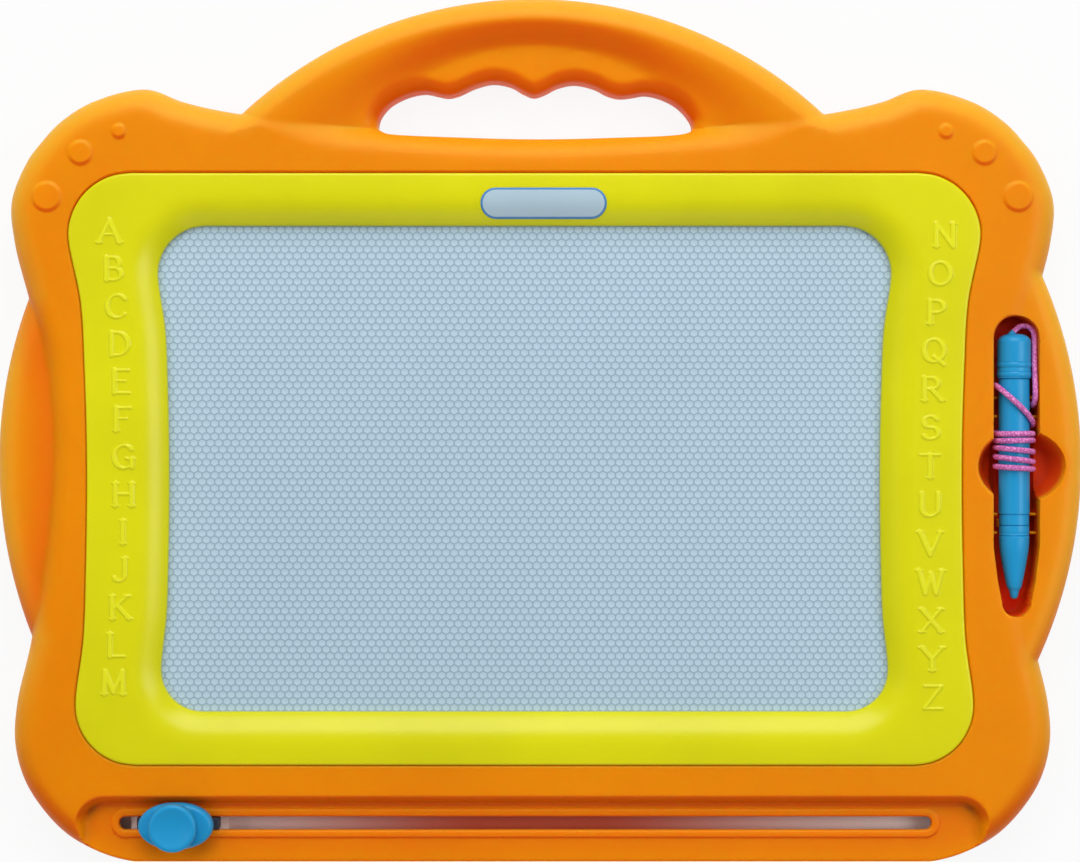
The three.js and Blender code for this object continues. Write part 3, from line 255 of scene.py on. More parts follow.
# Colours that change with the place, all painted light: painted shade, a deeper orange, in pockets and the
# left wing's crease, a painted highlight along the rim, and painted shade, rust-brown, in the middle of the
# slot
SUNK_DEPTH = 21.0
RIM_WIDTH = 12.0
RIM_TRAY_GAP = 2.5
TRAY_SUNK_DEPTH = 5.0
RIM_HIGHLIGHT_SHARE = 0.8
RIM_FADE_YS = (-150.0, -60.0)
RIM_FOOT = 9.0
CREASE_WIDTHS = (14.0, 4.0)
CREASE_SHADE_SHARE = 0.4
SLOT_PALE_X = 150.0
SLOT_SHADED_X = 20.0

# Eraser
KNOB_X = -139.7
KNOB_Z = 18.1
KNOB_HALF_LENGTH = 14.4
KNOB_HALF_WIDTH = 8.9
KNOB_POWERS = (0.92, 1.0)
DISC_SHIFT = -0.4
KNOB_NECK_INSET = 3.4
KNOB_BASE_Z = 21.2
KNOB_BASE_TOP_Z = 26.0
KNOB_TOP_Z = 31.0
KNOB_EDGE = 1.8
KNOB_FOOT = 0.5
DISC_RADIUS = 9.15
DISC_EDGE = 1.2
DISC_NECK = 0.5
DISC_LEVELS = (-0.6, 0.3, 0.7)
DISC_FACE = [(2.0, 0.02), (2.4, 0.25)]
BLOCK_HALF = (15.9, 2.3)
BLOCK_LOW_Z = 12.3
BLOCK_ROUNDING = 0.5

# Screws in the back
SCREW_RADIUS = 2.9
SCREW_HEAD = 1.6
SCREW_SHAFT = 1.35
SCREW_LENGTH = 11.0
SCREW_SEAT_Z = 3.0
BORE_RADIUS = 3.2
CROSS_HALF_WIDTH = 0.38
CROSS_REACH = 1.75
CROSS_DEPTH = 0.9
CROSS_EDGE = 0.12
SCREW_CROWN = 0.5
SCREW_PITCH = 0.12
SHAFT_FOLD = 0.05
BOSS_INNER = 4.5
BOSS_GAP = 0.3
BOSS_RADII = (4.4, 4.7)
BOSS_PLACE_SHARES = [
    (-0.79, 0.681), (0.79, 0.681), (-0.42, 0.737), (0.42, 0.737), (-0.188, 0.904), (0.188, 0.904),
    (-0.918, -0.764), (0.918, -0.764),
]
WING_BOSS_INSET = 9.8
WING_BOSS_ROW_SHARES = (-0.084, -0.299)

# Pen and its tray
PEN_X = 183.9
PEN_Z = 17.5
TRAY_HALF = 8.9
TRAY_TOP_Y = 44.3
TRAY_TAPER_Y = -45.0
TRAY_MID_Y = -58.0
TRAY_MID_HALF = 7.3
TRAY_END_HALF = 5.6
TRAY_END_Y = -72.0
TRAY_FLOOR_Z = 9.1
DISH_CENTRE = (185.9, -13.9)
DISH_HALF = (17.2, 14.3)
DISH_FLOOR_Z = 11.4
DISH_FLAT_SHARE = 0.6
DISH_MOST_SHARE = 2
DISH_POWER = 2.5
DISH_BLEND = 1.4
BARREL_RADIUS = 5.95
BARREL_TOP_Y = 20.0
# Rings of the barrel, as insets from its radius with their places along the pen
BARREL_RINGS = [
    (0.45, -36.6), (0.2, -36.35), (0.2, -32.7), (0.45, -32.55), (0.45, -32.4), (0.3, -32.4),
    (0, -32.05), (0, 19.6), (0.3, 20),
]
# Two corners of the barrel's parting line, from the pen's axis
BARREL_SEAM = [(0.35, -31.4, 5.55), (0.65, -17.9, 6.01)]
BARREL_SEAM_ROUNDING = 0.1
BAND_SINK = 0.2
NOSE_TOP_Y = -36.7
NOSE_TIP_Y = -61.2
NOSE_TIP_RADIUS = 2.7
NOSE_SHARES = [(0.985, 0.16), (0.93, 0.38), (0.82, 0.55), (0.68, 0.74), (0.53, 0.92)]
NOSE_TIP_SHARE = 0.985
NOSE_END = (0.2, 0.03)
NOSE_STEP = 0.4
NOSE_GROOVE_YS = (-39.7, -40.7)
NOSE_GROOVE_HALF = 0.22
NOSE_GROOVE_DEPTH = 0.35
NIB_LENGTH = 4.0
# Rings of the nib, as radii with shares of its length
NIB_RINGS = [
    (0, 1), (0.75, 0.97), (1.2, 0.88), (1.5, 0.72), (1.75, 0.4), (2.1, 0.12), (2.4, 0), (0, 0),
]
CAP_RADIUS = 6.45
CAP_TOP_Y = 37.4
CAP_DOME = 3.4
CAP_DOME_POWER = 0.7
CAP_RING_YS = (21.6, 25.3)
CAP_FOOT_EDGE = 0.3
CAP_RING_HALVES = (0.9, 1.05, 1.2)
CAP_RING_RISE = 0.2
CAP_RING_GROOVE = 0.12
EYELET_PLACES = (-2.4, -1.2, 0.1)
EYELET_RADIUS = 1.25
PEN_GAP = 0.05
CRADLE_YS = (12.7, 5.4, -32.5, -39.7)
CRADLE_GAP = 0.3
RIB_HALF = 0.5
RIB_BITE = 0.8
RIB_DROP = 1.0
# Pads under the pen: place, half length and radius of what lies on it
PADS = [(31.5, 3, CAP_RADIUS), (-36.1, 1.5, BARREL_RADIUS)]
PAD_REACH = 5.5
FITTING_SINK = 1.0
FITTING_ROUNDING = 0.3

# Cord: its lead from the pen's cap, as points from the pen's axis, and its windings
CORD_DIAMETER = 1.9
CORD_NAP = 0.15
CORD_STEP = 0.35
CORD_LEAD_STEP = 0.8
STRAND_DEPTH_SHARE = 0.14
STRAND_POWER = 0.6
WIND_RADIUS = 7.15
CORD_LEAD = [
    (-0.24, 38.16, 0), (1.1, 39.5, 0), (2.34, 40.32, 0.1), (3.79, 40.61, 0.2),
    (5.24, 40.32, 0.4), (6.48, 39.5, 0.6), (7.3, 38.26, 0.8), (7.59, 36.8, 1),
    (7.6, 32, 1.4), (7.5, 26, 2.1), (7.5, 20, 3.1), (7.5, 16.5, 3.65),
    (7.5, 13.8, 3.8), (7.45, 12.27, 3.5), (7.35, 10.97, 2.63), (7.22, 10.1, 1.33),
]
CROSSINGS = [9.8, 17.5, 2.3, -1.2, -1.3, -3.9, -3.8, -6.5, -8.3, -10.1, -12.2, -13.9, -14.9]
PULL_SHARE = 0.25
STEPS_PER_TURN = 36
KNOT_RADIUS = 1.85
KNOT_Z = 4.8
KNOT_ANGLES = (-80, 60)
TAIL_GAP = 0.05

# Surfaces: clouds of tint, unevenness of gloss, moulded grain and painted shade between the cord's stitches
CLOUD_SCALE = 14
CLOUD_EDGES = (0.3, 0.7)
GLOSS_SPREAD = 0.05
GRAIN_STRENGTH = 0.4
COAT_ROUGHNESS = 0.15
STITCH_SIZE = 0.85
STITCH_EDGES = (0.2, 0.65)

# Camera straight above the board, floor and lamps, in metres
CAMERA_PLACE = (0.0004, -0.0002, 0.95)
CAMERA_LENS = 80.3
FLOOR_HALF = 1.5
FLOOR_Z = -0.0002
FLOOR_GLOW = 0.9
FLOOR_COLOUR = (0.8, 0.8, 0.8, 1)
FLOOR_ROUGHNESS = 0.9
WORLD_LIGHT = 0.24
# Lamps: name, place, size, power and whether they shine in reflections
LAMPS = [
    ("key", (0.0, 1.3, 1.1), 1.3, 20, True),
    ("left", (-1.1, 0.1, 1.1), 0.8, 6, False),
    ("right", (1.1, 0.1, 1.1), 0.8, 7, True),
    ("front", (0.0, -1.6, 0.8), 1.0, 2, True),
]


def linked(name, data):
    """A new object of the scene."""
    obj = bpy.data.objects.new(name, data)
    bpy.context.scene.collection.objects.link(obj)
    return obj


def add_camera():
    data = bpy.data.cameras.new("camera")
    data.lens = CAMERA_LENS
    data.sensor_width = 36
    camera = linked("camera", data)
    camera.location = CAMERA_PLACE
    bpy.context.scene.camera = camera


# Curves and outlines

def even(points, step, closed):
    """Points at even steps along a path."""
    path = np.vstack([points, points[:1]]) if closed else points
    along = np.concatenate([[0], np.cumsum(np.linalg.norm(np.diff(path, axis=0), axis=1))])
    count = max(3, round(along[-1] / step))
    places = np.linspace(0, along[-1], count + 1)
    if closed:
        places = places[:-1]
    return np.column_stack([np.interp(places, along, column) for column in path.T])


def eased(t, start, end, pull_start, pull_end):
    """A cubic from start to end, as t grows from 0 to 1, that leaves and arrives by its pulls."""
    return ((2 * t**3 - 3 * t**2 + 1) * start + (t**3 - 2 * t**2 + t) * pull_start
            + (3 * t**2 - 2 * t**3) * end + (t**3 - t**2) * pull_end)


def spline(points, step, closed=True):
    """Centripetal Catmull-Rom curve through points."""
    points = np.asarray(points, float)
    if closed:
        padded = np.vstack([points[-1:], points, points[:2]])
    else:
        padded = np.vstack([2 * points[:1] - points[1:2], points, 2 * points[-1:] - points[-2:-1]])
    t = np.linspace(0, 1, SPLINE_STEPS, endpoint=False)[:, None]
    parts = []
    for a, b, c, d in zip(padded, padded[1:], padded[2:], padded[3:]):
        before, along, after = (np.linalg.norm(q - p) ** 0.5 for p, q in ((a, b), (b, c), (c, d)))
        start = ((b - a) / before - (c - a) / (before + along) + (c - b) / along) * along
        end = ((c - b) / along - (d - b) / (along + after) + (d - c) / after) * along
        parts.append(eased(t, b, c, start, end))
    if not closed:
        parts.append(points[-1:])
    return even(np.vstack(parts), step, closed)


def anticlockwise(outline):
    ahead = np.roll(outline, -1, axis=0)
    area = np.sum(outline[:, 0] * ahead[:, 1] - ahead[:, 0] * outline[:, 1])
    return outline if area > 0 else outline[::-1].copy()


def arc(centre, radius, start, end, steps=24):
    angles = np.linspace(start, end, steps + 1)
    return np.column_stack([centre[0] + radius * np.cos(angles), centre[1] + radius * np.sin(angles)])


def offset(outline, distance):
    """An outline moved to its left, which is inwards where it runs anticlockwise."""
    ahead = np.roll(outline, -1, axis=0) - np.roll(outline, 1, axis=0)
    ahead /= np.linalg.norm(ahead, axis=1)[:, None]
    return outline + distance * np.column_stack([-ahead[:, 1], ahead[:, 0]])


def rows(outline, distances):
    return np.vstack([offset(outline, distance) for distance in distances])


def tiles(spots, size=25):
    """Index lists of the spots in each square tile of the plan."""
    if not len(spots):
        return []
    cells = np.floor(spots / size).astype(np.int64) @ (CELL_STRIDE, 1)
    order = np.argsort(cells, kind="stable")
    return np.split(order, np.flatnonzero(np.diff(cells[order])) + 1)


def inside(spots, outline):
    """Whether each spot lies inside a closed outline."""
    result = np.zeros(len(spots), bool)
    ahead = np.roll(outline, -1, axis=0)
    rise = ahead[:, 1] - outline[:, 1]
    low, high = np.minimum(outline[:, 1], ahead[:, 1]), np.maximum(outline[:, 1], ahead[:, 1])
    for tile in tiles(spots):
        x, y = spots[tile].T[:, :, None]
        near = (low <= y.max()) & (high >= y.min()) & (rise != 0)
        straddles = (outline[near, 1] > y) != (ahead[near, 1] > y)
        slope = (ahead[near, 0] - outline[near, 0]) / rise[near]
        crosses = straddles & (x < outline[near, 0] + (y - outline[near, 1]) * slope)
        result[tile] = crosses.sum(axis=1) % 2 == 1
    return result


def distance_to(spots, starts, ends):
    """Distance of each spot to the nearest of a set of straight stretches."""
    result = np.empty(len(spots))
    longest = np.linalg.norm(ends - starts, axis=1).max()
    for tile in tiles(spots):
        middle = spots[tile].mean(axis=0)
        reach = np.linalg.norm(spots[tile] - middle, axis=1).max()
        away = np.linalg.norm(starts - middle, axis=1)
        near = away <= away.min() + 2 * (reach + longest)
        start, edge = starts[near], ends[near] - starts[near]
        x, y = spots[tile].T[:, :, None]
        away_x, away_y = x - start[:, 0], y - start[:, 1]
        square = np.maximum((edge**2).sum(axis=1), MERGE**4)
        share = np.clip((away_x * edge[:, 0] + away_y * edge[:, 1]) / square, 0, 1)
        gap = (away_x - share * edge[:, 0])**2 + (away_y - share * edge[:, 1])**2
        result[tile] = np.sqrt(gap.min(axis=1))
    return result


def depth_in(spots, outline):
    """Distance to an outline's edge, positive inside it."""
    gap = distance_to(spots, outline, np.roll(outline, -1, axis=0))
    return np.where(inside(spots, outline), gap, -gap)


def mirrored(shares, half_width, half_height, centre):
    right = np.array(shares) * (half_width, half_height)
    left = right[1:][::-1] * (-1, 1)
    return anticlockwise(np.vstack([right, left])) + centre


def body_outline():
    outline = mirrored(BODY_SHARES, BODY_HALF_WIDTH, HALF_HEIGHT, (BODY_SHIFT, 0))
    curve = spline(outline, OUTLINE_STEP)
    curve[:, 1] = np.maximum(curve[:, 1], -HALF_HEIGHT)
    return curve


def opening_outline():
    spots = np.array(OPENING_SHARES) * (OPENING_HALF_WIDTH, OPENING_HEIGHT) + OPENING_CENTRE
    return anticlockwise(spline(spots, FINE_STEP))


def waisted_half(y, half_widths, half_height):
    top, waist, base = half_widths
    rise = y + WAIST_DROP
    share = np.where(rise > 0, rise / (half_height + WAIST_DROP), rise / (half_height - WAIST_DROP))
    return waist + (np.where(rise > 0, top, base) - waist) * share**2


def waisted_frame(half_widths, half_height, radii):
    """The bezel's or the opening's outline: sides drawn in to a waist, corners rounded."""
    top, _, base = half_widths
    top_radius, base_radius = radii
    low = base_radius - half_height
    high = half_height - top_radius
    side_y = np.linspace(low, high, 8)[1:-1]
    side = np.column_stack([waisted_half(side_y, half_widths, half_height), side_y])
    near, far = FRAME_PINS
    base_x, top_x = base - base_radius, top - top_radius
    right = np.vstack([
        [(x, -half_height) for x in (FRAME_MIDDLE, base_x - far, base_x - near)],
        arc((base_x, low), base_radius, -math.pi / 2, 0, 5), side,
        arc((top_x, high), top_radius, 0, math.pi / 2, 5),
        [(x, half_height) for x in (top_x - near, top_x - far, FRAME_MIDDLE)],
    ])
    outline = np.vstack([right, right[::-1] * (-1, 1)]) + (SCREEN_X, SCREEN_Y)
    return spline(outline, FRAME_STEP)


def stadium(left, right, y, radius, step):
    outline = np.vstack([
        arc((right - radius, y), radius, -math.pi / 2, math.pi / 2),
        arc((left + radius, y), radius, math.pi / 2, 1.5 * math.pi),
    ])
    return even(outline, step, True)


def slot_outline():
    return stadium(SLOT_LEFT_X, SLOT_RIGHT_X, SLOT_Y, SLOT_HALF, FINE_STEP)


def tray_outline():
    end_y = TRAY_END_Y + TRAY_END_HALF
    outline = np.vstack([
        arc((PEN_X, TRAY_TOP_Y - TRAY_HALF), TRAY_HALF, 0, math.pi),
        [(PEN_X - TRAY_HALF, TRAY_TAPER_Y), (PEN_X - TRAY_MID_HALF, TRAY_MID_Y)],
        arc((PEN_X, end_y), TRAY_END_HALF, math.pi, 2 * math.pi),
        [(PEN_X + TRAY_MID_HALF, TRAY_MID_Y), (PEN_X + TRAY_HALF, TRAY_TAPER_Y)],
    ])
    return even(outline, FINE_STEP, True)


def ellipse(centre, half, steps=120):
    return np.array(centre) + arc((0, 0), 1, 0, 2 * math.pi, steps)[:-1] * half


def circle(centre, radius, step):
    steps = max(12, round(2 * math.pi * radius / step))
    return arc(centre, radius, 0, 2 * math.pi, steps)[:-1]


BODY = body_outline()
OPENING = opening_outline()
BEZEL = waisted_frame(BEZEL_HALF_WIDTHS, BEZEL_HALF_HEIGHT, BEZEL_RADII)
OPEN = waisted_frame(OPEN_HALF_WIDTHS, OPEN_HALF_HEIGHT, OPEN_RADII)
TRAY = tray_outline()
HANDLE_CENTRE = np.array([BODY_SHIFT, HALF_HEIGHT - HANDLE_RADIUS])


# Depths inside the outlines that are circles

def wing_centre(side):
    return np.array([side * (HALF_WIDTH - WING_RADIUS), WING_Y])


def wing_depth(spots, side):
    depth = WING_RADIUS - np.hypot(*(spots - wing_centre(side)).T)
    return np.where(side * spots[:, 0] > WING_INNER_X, depth, -FAR)


def handle_depth(spots):
    away = spots - HANDLE_CENTRE
    depth = HANDLE_RADIUS - np.hypot(*away.T)
    angle = np.abs(np.arctan2(away[:, 0], away[:, 1]))
    return np.where((angle < HANDLE_HALF_ANGLE) & (depth < HANDLE_BAND), depth, -FAR)


def silhouette():
    """Outline of body, wings and handle together, in order round the board's middle."""
    handle = arc(HANDLE_CENTRE, HANDLE_RADIUS, math.pi / 2 - HANDLE_HALF_ANGLE,
                 math.pi / 2 + HANDLE_HALF_ANGLE, HANDLE_STEPS)
    reach = math.acos((WING_INNER_X - HALF_WIDTH + WING_RADIUS) / WING_RADIUS)
    right = arc(wing_centre(1), WING_RADIUS, -reach, reach, WING_STEPS)
    left = arc(wing_centre(-1), WING_RADIUS, math.pi - reach, math.pi + reach, WING_STEPS)
    spots = np.vstack([BODY, handle, right, left])
    others = np.column_stack([
        depth_in(spots, BODY), handle_depth(spots), wing_depth(spots, 1), wing_depth(spots, -1),
    ])
    edge = spots[others.max(axis=1) < LEAST]
    edge = edge[np.argsort(np.arctan2(edge[:, 1], edge[:, 0]))]
    return even(edge, OUTLINE_STEP, True)


SILHOUETTE = silhouette()


# Height fields

def quarter(share):
    """Fall of a rounded edge, from 1 at the edge to 0 a radius inside it."""
    return 1 - np.sqrt(np.maximum(1 - np.clip(share, 0, 1)**2, 0))


def smooth(share):
    share = np.clip(share, 0, 1)
    return share * share * (3 - 2 * share)


def round_edge(depth, radius, top):
    fall = radius * quarter(1 - depth / radius)
    return np.where(depth < 0, top - radius + CLIFF * depth, top - fall)


def blend_high(a, b, reach=BLEND):
    """The higher of two heights, with a fillet between them that never rises over the case's face."""
    share = np.maximum(reach - np.abs(a - b), 0) / reach
    high = np.maximum(a, b)
    return np.maximum(np.minimum(high + share**2 * reach / 4, TOP_Z), high)


def pocket(depth, top, floor, lip, draft, fillet):
    """Height of a sunk place: rounded lip, steep wall and rounded foot, by depth inside its outline."""
    rim = top - lip * quarter((depth + lip) / lip)
    wall_top, wall_low = top - lip, floor + fillet
    wall = wall_top + (wall_low - wall_top) * depth / draft
    foot = floor + fillet * quarter(1 - (depth - draft) / fillet)
    height = np.where(depth < 0, rim, np.where(depth < draft, wall, foot))
    return np.where(depth < -lip, FAR, height)


def handle_height(spots):
    depth = handle_depth(spots)
    rise = np.clip(1 - depth / CREST_DEPTH, 0, 1)
    power, root = CREST_POWERS
    outer = HANDLE_FOOT_Z + (CREST_Z - HANDLE_FOOT_Z) * (1 - rise**power)**root
    beyond = np.maximum(np.hypot(*(spots - LENS_CENTRE).T) - LENS_RADIUS, 0)
    inner = CREST_Z + (LAND_Z - CREST_Z) * smooth(
        (depth - CREST_DEPTH) / np.maximum(beyond + depth - CREST_DEPTH, LEAST))
    height = np.where(depth < CREST_DEPTH, outer, inner)
    near = (depth > 0) & (np.abs(spots[:, 0] - OPENING_CENTRE[0]) < OPENING_HALF_WIDTH + OPENING_FILLET)
    gap = np.full(len(spots), FAR)
    gap[near] = -depth_in(spots[near], OPENING)
    height -= OPENING_FILLET * quarter(1 - gap / OPENING_FILLET)
    return np.where(depth < 0, HANDLE_FOOT_Z + CLIFF * np.maximum(depth, -CLIFF_REACH), height)


def case_height(spots):
    height = round_edge(depth_in(spots, BODY), BODY_EDGE, TOP_Z)
    for side, drop in WING_DROPS.items():
        height = blend_high(height, round_edge(wing_depth(spots, side), WING_EDGE, TOP_Z - drop))
    return blend_high(height, handle_height(spots), HANDLE_BLEND)


def dot_spots():
    """Centre and radius of each raised dot."""
    return [
        (np.array([BODY_SHIFT + side * x * BODY_HALF_WIDTH, y * HALF_HEIGHT]), radius)
        for side in (-1, 1) for (x, y), radius in zip(DOT_PLACE_SHARES, DOT_RADII)
    ]


def dot_height(spots):
    rise = np.zeros(len(spots))
    for centre, radius in dot_spots():
        depth = radius - np.hypot(*(spots - centre).T)
        rise += DOT_RISE * smooth(depth / DOT_EDGE)
    return rise


def shelf_depth(spots):
    """Depth inside the shelf, which is open at the board's lower edge."""
    middle = (SHELF_LEFT_X + SHELF_RIGHT_X) / 2
    half = (SHELF_RIGHT_X - SHELF_LEFT_X) / 2
    across = np.abs(spots[:, 0] - middle) - (half - SHELF_CORNER)
    up = spots[:, 1] - (SHELF_TOP_Y - SHELF_CORNER)
    outside = np.hypot(np.maximum(across, 0), np.maximum(up, 0))
    return SHELF_CORNER - outside - np.minimum(np.maximum(across, up), 0)


def shelf_row(inset):
    """The shelf's edge moved inwards, from one end at the board's lower edge to the other."""
    corner = max(SHELF_CORNER - inset, SHELF_LEAST_CORNER)
    left, right = SHELF_LEFT_X + inset, SHELF_RIGHT_X - inset
    top = SHELF_TOP_Y - inset - corner
    path = np.vstack([
        [(right, -HALF_HEIGHT)],
        arc((right - corner, top), corner, 0, math.pi / 2),
        arc((left + corner, top), corner, math.pi / 2, math.pi),
        [(left, -HALF_HEIGHT)],
    ])
    return even(path, OUTLINE_STEP, False)


def slot_gap(spots):
    """Distance from the slot's edge, positive outside the slot."""
    x = np.clip(spots[:, 0], SLOT_LEFT_X + SLOT_HALF, SLOT_RIGHT_X - SLOT_HALF)
    return np.hypot(spots[:, 0] - x, spots[:, 1] - SLOT_Y) - SLOT_HALF


def bead_height(spots):
    across = np.abs(2 * slot_gap(spots) / BEAD_WIDTH - 1)
    return np.where(across < 1, SHELF_Z + BEAD_RISE * np.sqrt(np.maximum(1 - across**BEAD_POWER, 0)), 0)


def dish_height(spots):
    reach = np.hypot(*((spots - DISH_CENTRE) / DISH_HALF).T)
    rise = np.clip((reach - DISH_FLAT_SHARE) / (1 - DISH_FLAT_SHARE), 0, DISH_MOST_SHARE)
    return DISH_FLOOR_Z + (BEZEL_Z - DISH_FLOOR_Z) * rise**DISH_POWER


def blend_low(a, b, reach):
    share = np.maximum(reach - np.abs(a - b), 0) / reach
    return np.minimum(a, b) - share**2 * reach / 4


def front_height(spots):
    height = case_height(spots) + dot_height(spots)
    shelf = shelf_depth(spots) - SHELF_POCKET[0]
    height = np.minimum(height, pocket(shelf, TOP_Z, SHELF_Z, *SHELF_POCKET))
    height = np.maximum(height, bead_height(spots))
    height = np.minimum(height, pocket(depth_in(spots, TRAY), TOP_Z, TRAY_FLOOR_Z, *TRAY_POCKET))
    height = blend_low(height, dish_height(spots), DISH_BLEND)
    bezel = depth_in(spots, BEZEL) + BEZEL_GAP
    return np.minimum(height, pocket(bezel, TOP_Z, LEDGE_Z, *BEZEL_POCKET))


# Meshes

def thinned(spots, gap):
    """Spots no two of which share a cell; the first of them stay."""
    cells = np.round(spots / gap).astype(np.int64)
    _, first = np.unique(cells @ (CELL_STRIDE, 1), return_index=True)
    return spots[np.sort(first)]


def filled(spots, pitch, reach=(HALF_WIDTH, HALF_HEIGHT)):
    """The spots and, where a cell holds none of them, a spot of a staggered grid."""
    x, y = np.meshgrid(*(np.arange(-half, half, pitch) for half in reach))
    grid = np.column_stack([(x + (np.arange(len(x)) % 2)[:, None] * pitch / 2).ravel(), y.ravel()])
    taken = np.round(spots / pitch).astype(np.int64) @ (CELL_STRIDE, 1)
    cells = np.round(grid / pitch).astype(np.int64) @ (CELL_STRIDE, 1)
    return np.vstack([spots, grid[~np.isin(cells, taken)]])


def square_grid(half, step):
    """Spots of a square grid about the middle."""
    x, y = np.meshgrid(*[np.arange(-half, half + MERGE, step)] * 2)
    return np.column_stack([x.ravel(), y.ravel()])


def triangulated(loops, spots):
    """Triangles between closed loops, through the loose spots between them."""
    plan = np.vstack([*loops, spots])
    edges = []
    first = 0
    for loop in loops:
        edges += [(first + i, first + (i + 1) % len(loop)) for i in range(len(loop))]
        first += len(loop)
    found = delaunay_2d_cdt([Vector(spot) for spot in plan], edges, [], 0, PLAN_MERGE)
    origin = np.array([ids[0] if ids else -1 for ids in found[3]])
    faces = origin[np.array([face for face in found[2] if len(face) == 3])]
    faces = faces[(faces >= 0).all(axis=1)]
    doubtful = (faces < first).all(axis=1)
    middles = plan[faces[doubtful]].mean(axis=1)
    keep = np.ones(len(faces), bool)
    crossed = sum(inside(middles, loop).astype(int) for loop in loops)
    keep[doubtful] = crossed % 2 == 1
    faces = faces[keep]
    a, b, c = (plan[faces[:, i]] for i in range(3))
    turn = (b - a)[:, 0] * (c - a)[:, 1] - (b - a)[:, 1] * (c - a)[:, 0]
    return plan, np.where((turn > 0)[:, None], faces, faces[:, ::-1])


def made(name, corners, faces, angle=SHARP_ANGLE):
    mesh = bpy.data.meshes.new(name)
    mesh.from_pydata((np.asarray(corners) * MM).tolist(), [], [list(face) for face in faces])
    mesh.shade_smooth()
    mesh.set_sharp_from_angle(angle=math.radians(angle))
    return linked(name, mesh)


def strips(upper, lower):
    after_upper, after_lower = np.roll(upper, -1), np.roll(lower, -1)
    return np.vstack([
        np.column_stack([upper, lower, after_lower]), np.column_stack([upper, after_lower, after_upper]),
    ])


def shell(name, loops, top, spots, rims, under, under_spots, flip=False):
    """A closed skin between a top surface and an underside, joined at its loops by rims.

    Outer loops run anticlockwise and holes clockwise. A rim is a list of (inset, z) levels.
    """
    plan, faces = triangulated(loops, spots)
    corners = [np.column_stack([plan, top(plan)])]
    triangles = [faces]
    lowest, rings = [], []
    total = len(plan)
    first = 0
    for loop, levels in zip(loops, rims):
        ring = np.arange(first, first + len(loop))
        first += len(loop)
        for inset, z in levels:
            lower = offset(loop, inset)
            corners.append(np.column_stack([lower, np.full(len(loop), z)]))
            fresh = np.arange(total, total + len(loop))
            triangles.append(strips(ring, fresh))
            ring = fresh
            total += len(loop)
        lowest.append(lower)
        rings.append(ring)
    low_plan, low_faces = triangulated(lowest, under_spots)
    inner = low_plan[first:]
    corners.append(np.column_stack([inner, under(inner)]))
    index = np.concatenate([*rings, np.arange(total, total + len(inner))])
    triangles.append(index[low_faces][:, ::-1])
    corners, triangles = np.vstack(corners), np.vstack(triangles)
    if flip:
        corners[:, 2] *= -1
        triangles = triangles[:, ::-1]
    return made(name, corners, triangles.tolist())


def ringed(name, rings, low_end, high_end, angle):
    """A closed solid through rings of equal count, with a fan to a point at each end."""
    sides = len(rings[0])
    corners = np.vstack([*rings, low_end, high_end])
    last = (len(rings) - 1) * sides
    faces = []
    for i in range(sides):
        j = (i + 1) % sides
        faces += [(k + i, k + j, k + sides + j, k + sides + i) for k in range(0, last, sides)]
        faces.append((j, i, len(corners) - 2))
        faces.append((last + i, last + j, len(corners) - 1))
    return made(name, corners, faces, angle)


def loft(name, levels):
    """A closed solid through outlines of equal count, given upwards with their heights."""
    rings = [np.column_stack([outline, np.full(len(outline), z)]) for outline, z in levels]
    return ringed(name, rings, rings[0].mean(axis=0), rings[-1].mean(axis=0), SHARP_ANGLE)


def lathe(name, profile, centre, along_y=True, sides=96):
    """A closed solid turned about the pen's axis or an upright one; the profile ends on the axis."""
    def placed(spots):
        x, y, z = np.atleast_2d(spots).T
        return np.column_stack([x, z, -y] if along_y else [x, y, z]) + centre

    turn = arc((0, 0), 1, 0, 2 * math.pi, sides)[:-1]
    ends = [placed((0, 0, place)) for _, place in (profile[0], profile[-1])]
    rings = [placed(np.column_stack([radius * turn, np.full(sides, place)]))
             for radius, place in profile[1:-1]]
    return ringed(name, rings, *ends, TURNED_ANGLE)


def rounded_block(name, low, high, radius, steps=4):
    """A box with rounded edges: each face's grid is bent round the edges of a smaller box."""
    low, high = np.array(low, float), np.array(high, float)
    turn = np.linspace(0, math.pi / 4, steps + 1)
    places = [(-1, -a) for a in turn[::-1]] + [(1, a) for a in turn]
    work = bmesh.new()
    core = (high - low) / 2 - radius
    for axis in range(3):
        u, v = (axis + 1) % 3, (axis + 2) % 3
        for side in (-1, 1):
            grid = []
            for side_u, angle_u in places:
                for side_v, angle_v in places:
                    away = np.zeros(3)
                    away[[axis, u, v]] = side, math.tan(angle_u), math.tan(angle_v)
                    corner = np.zeros(3)
                    corner[[axis, u, v]] = side, side_u, side_v
                    spot = corner * core + radius * away / np.linalg.norm(away) + (low + high) / 2
                    grid.append(work.verts.new(spot * MM))
            across = len(places)
            for i in range(across - 1):
                for j in range(across - 1):
                    k = i * across + j
                    face = [grid[k], grid[k + across], grid[k + across + 1], grid[k + 1]]
                    work.faces.new(face if side > 0 else face[::-1])
    bmesh.ops.remove_doubles(work, verts=work.verts, dist=MERGE * MM)
    obj = made(name, [], [])
    work.to_mesh(obj.data)
    work.free()
    obj.data.shade_smooth()
    return obj


# Cord

def winding_y(turn):
    k = min(int(turn), len(CROSSINGS) - 2)
    t = turn - k
    start, end = CROSSINGS[k], CROSSINGS[k + 1]
    before = CROSSINGS[k - 1] if k > 0 else end
    after = CROSSINGS[k + 2] if k + 2 < len(CROSSINGS) else end
    pull_start, pull_end = (end - before) * PULL_SHARE, (after - start) * PULL_SHARE
    return eased(t, start, end, pull_start, pull_end)


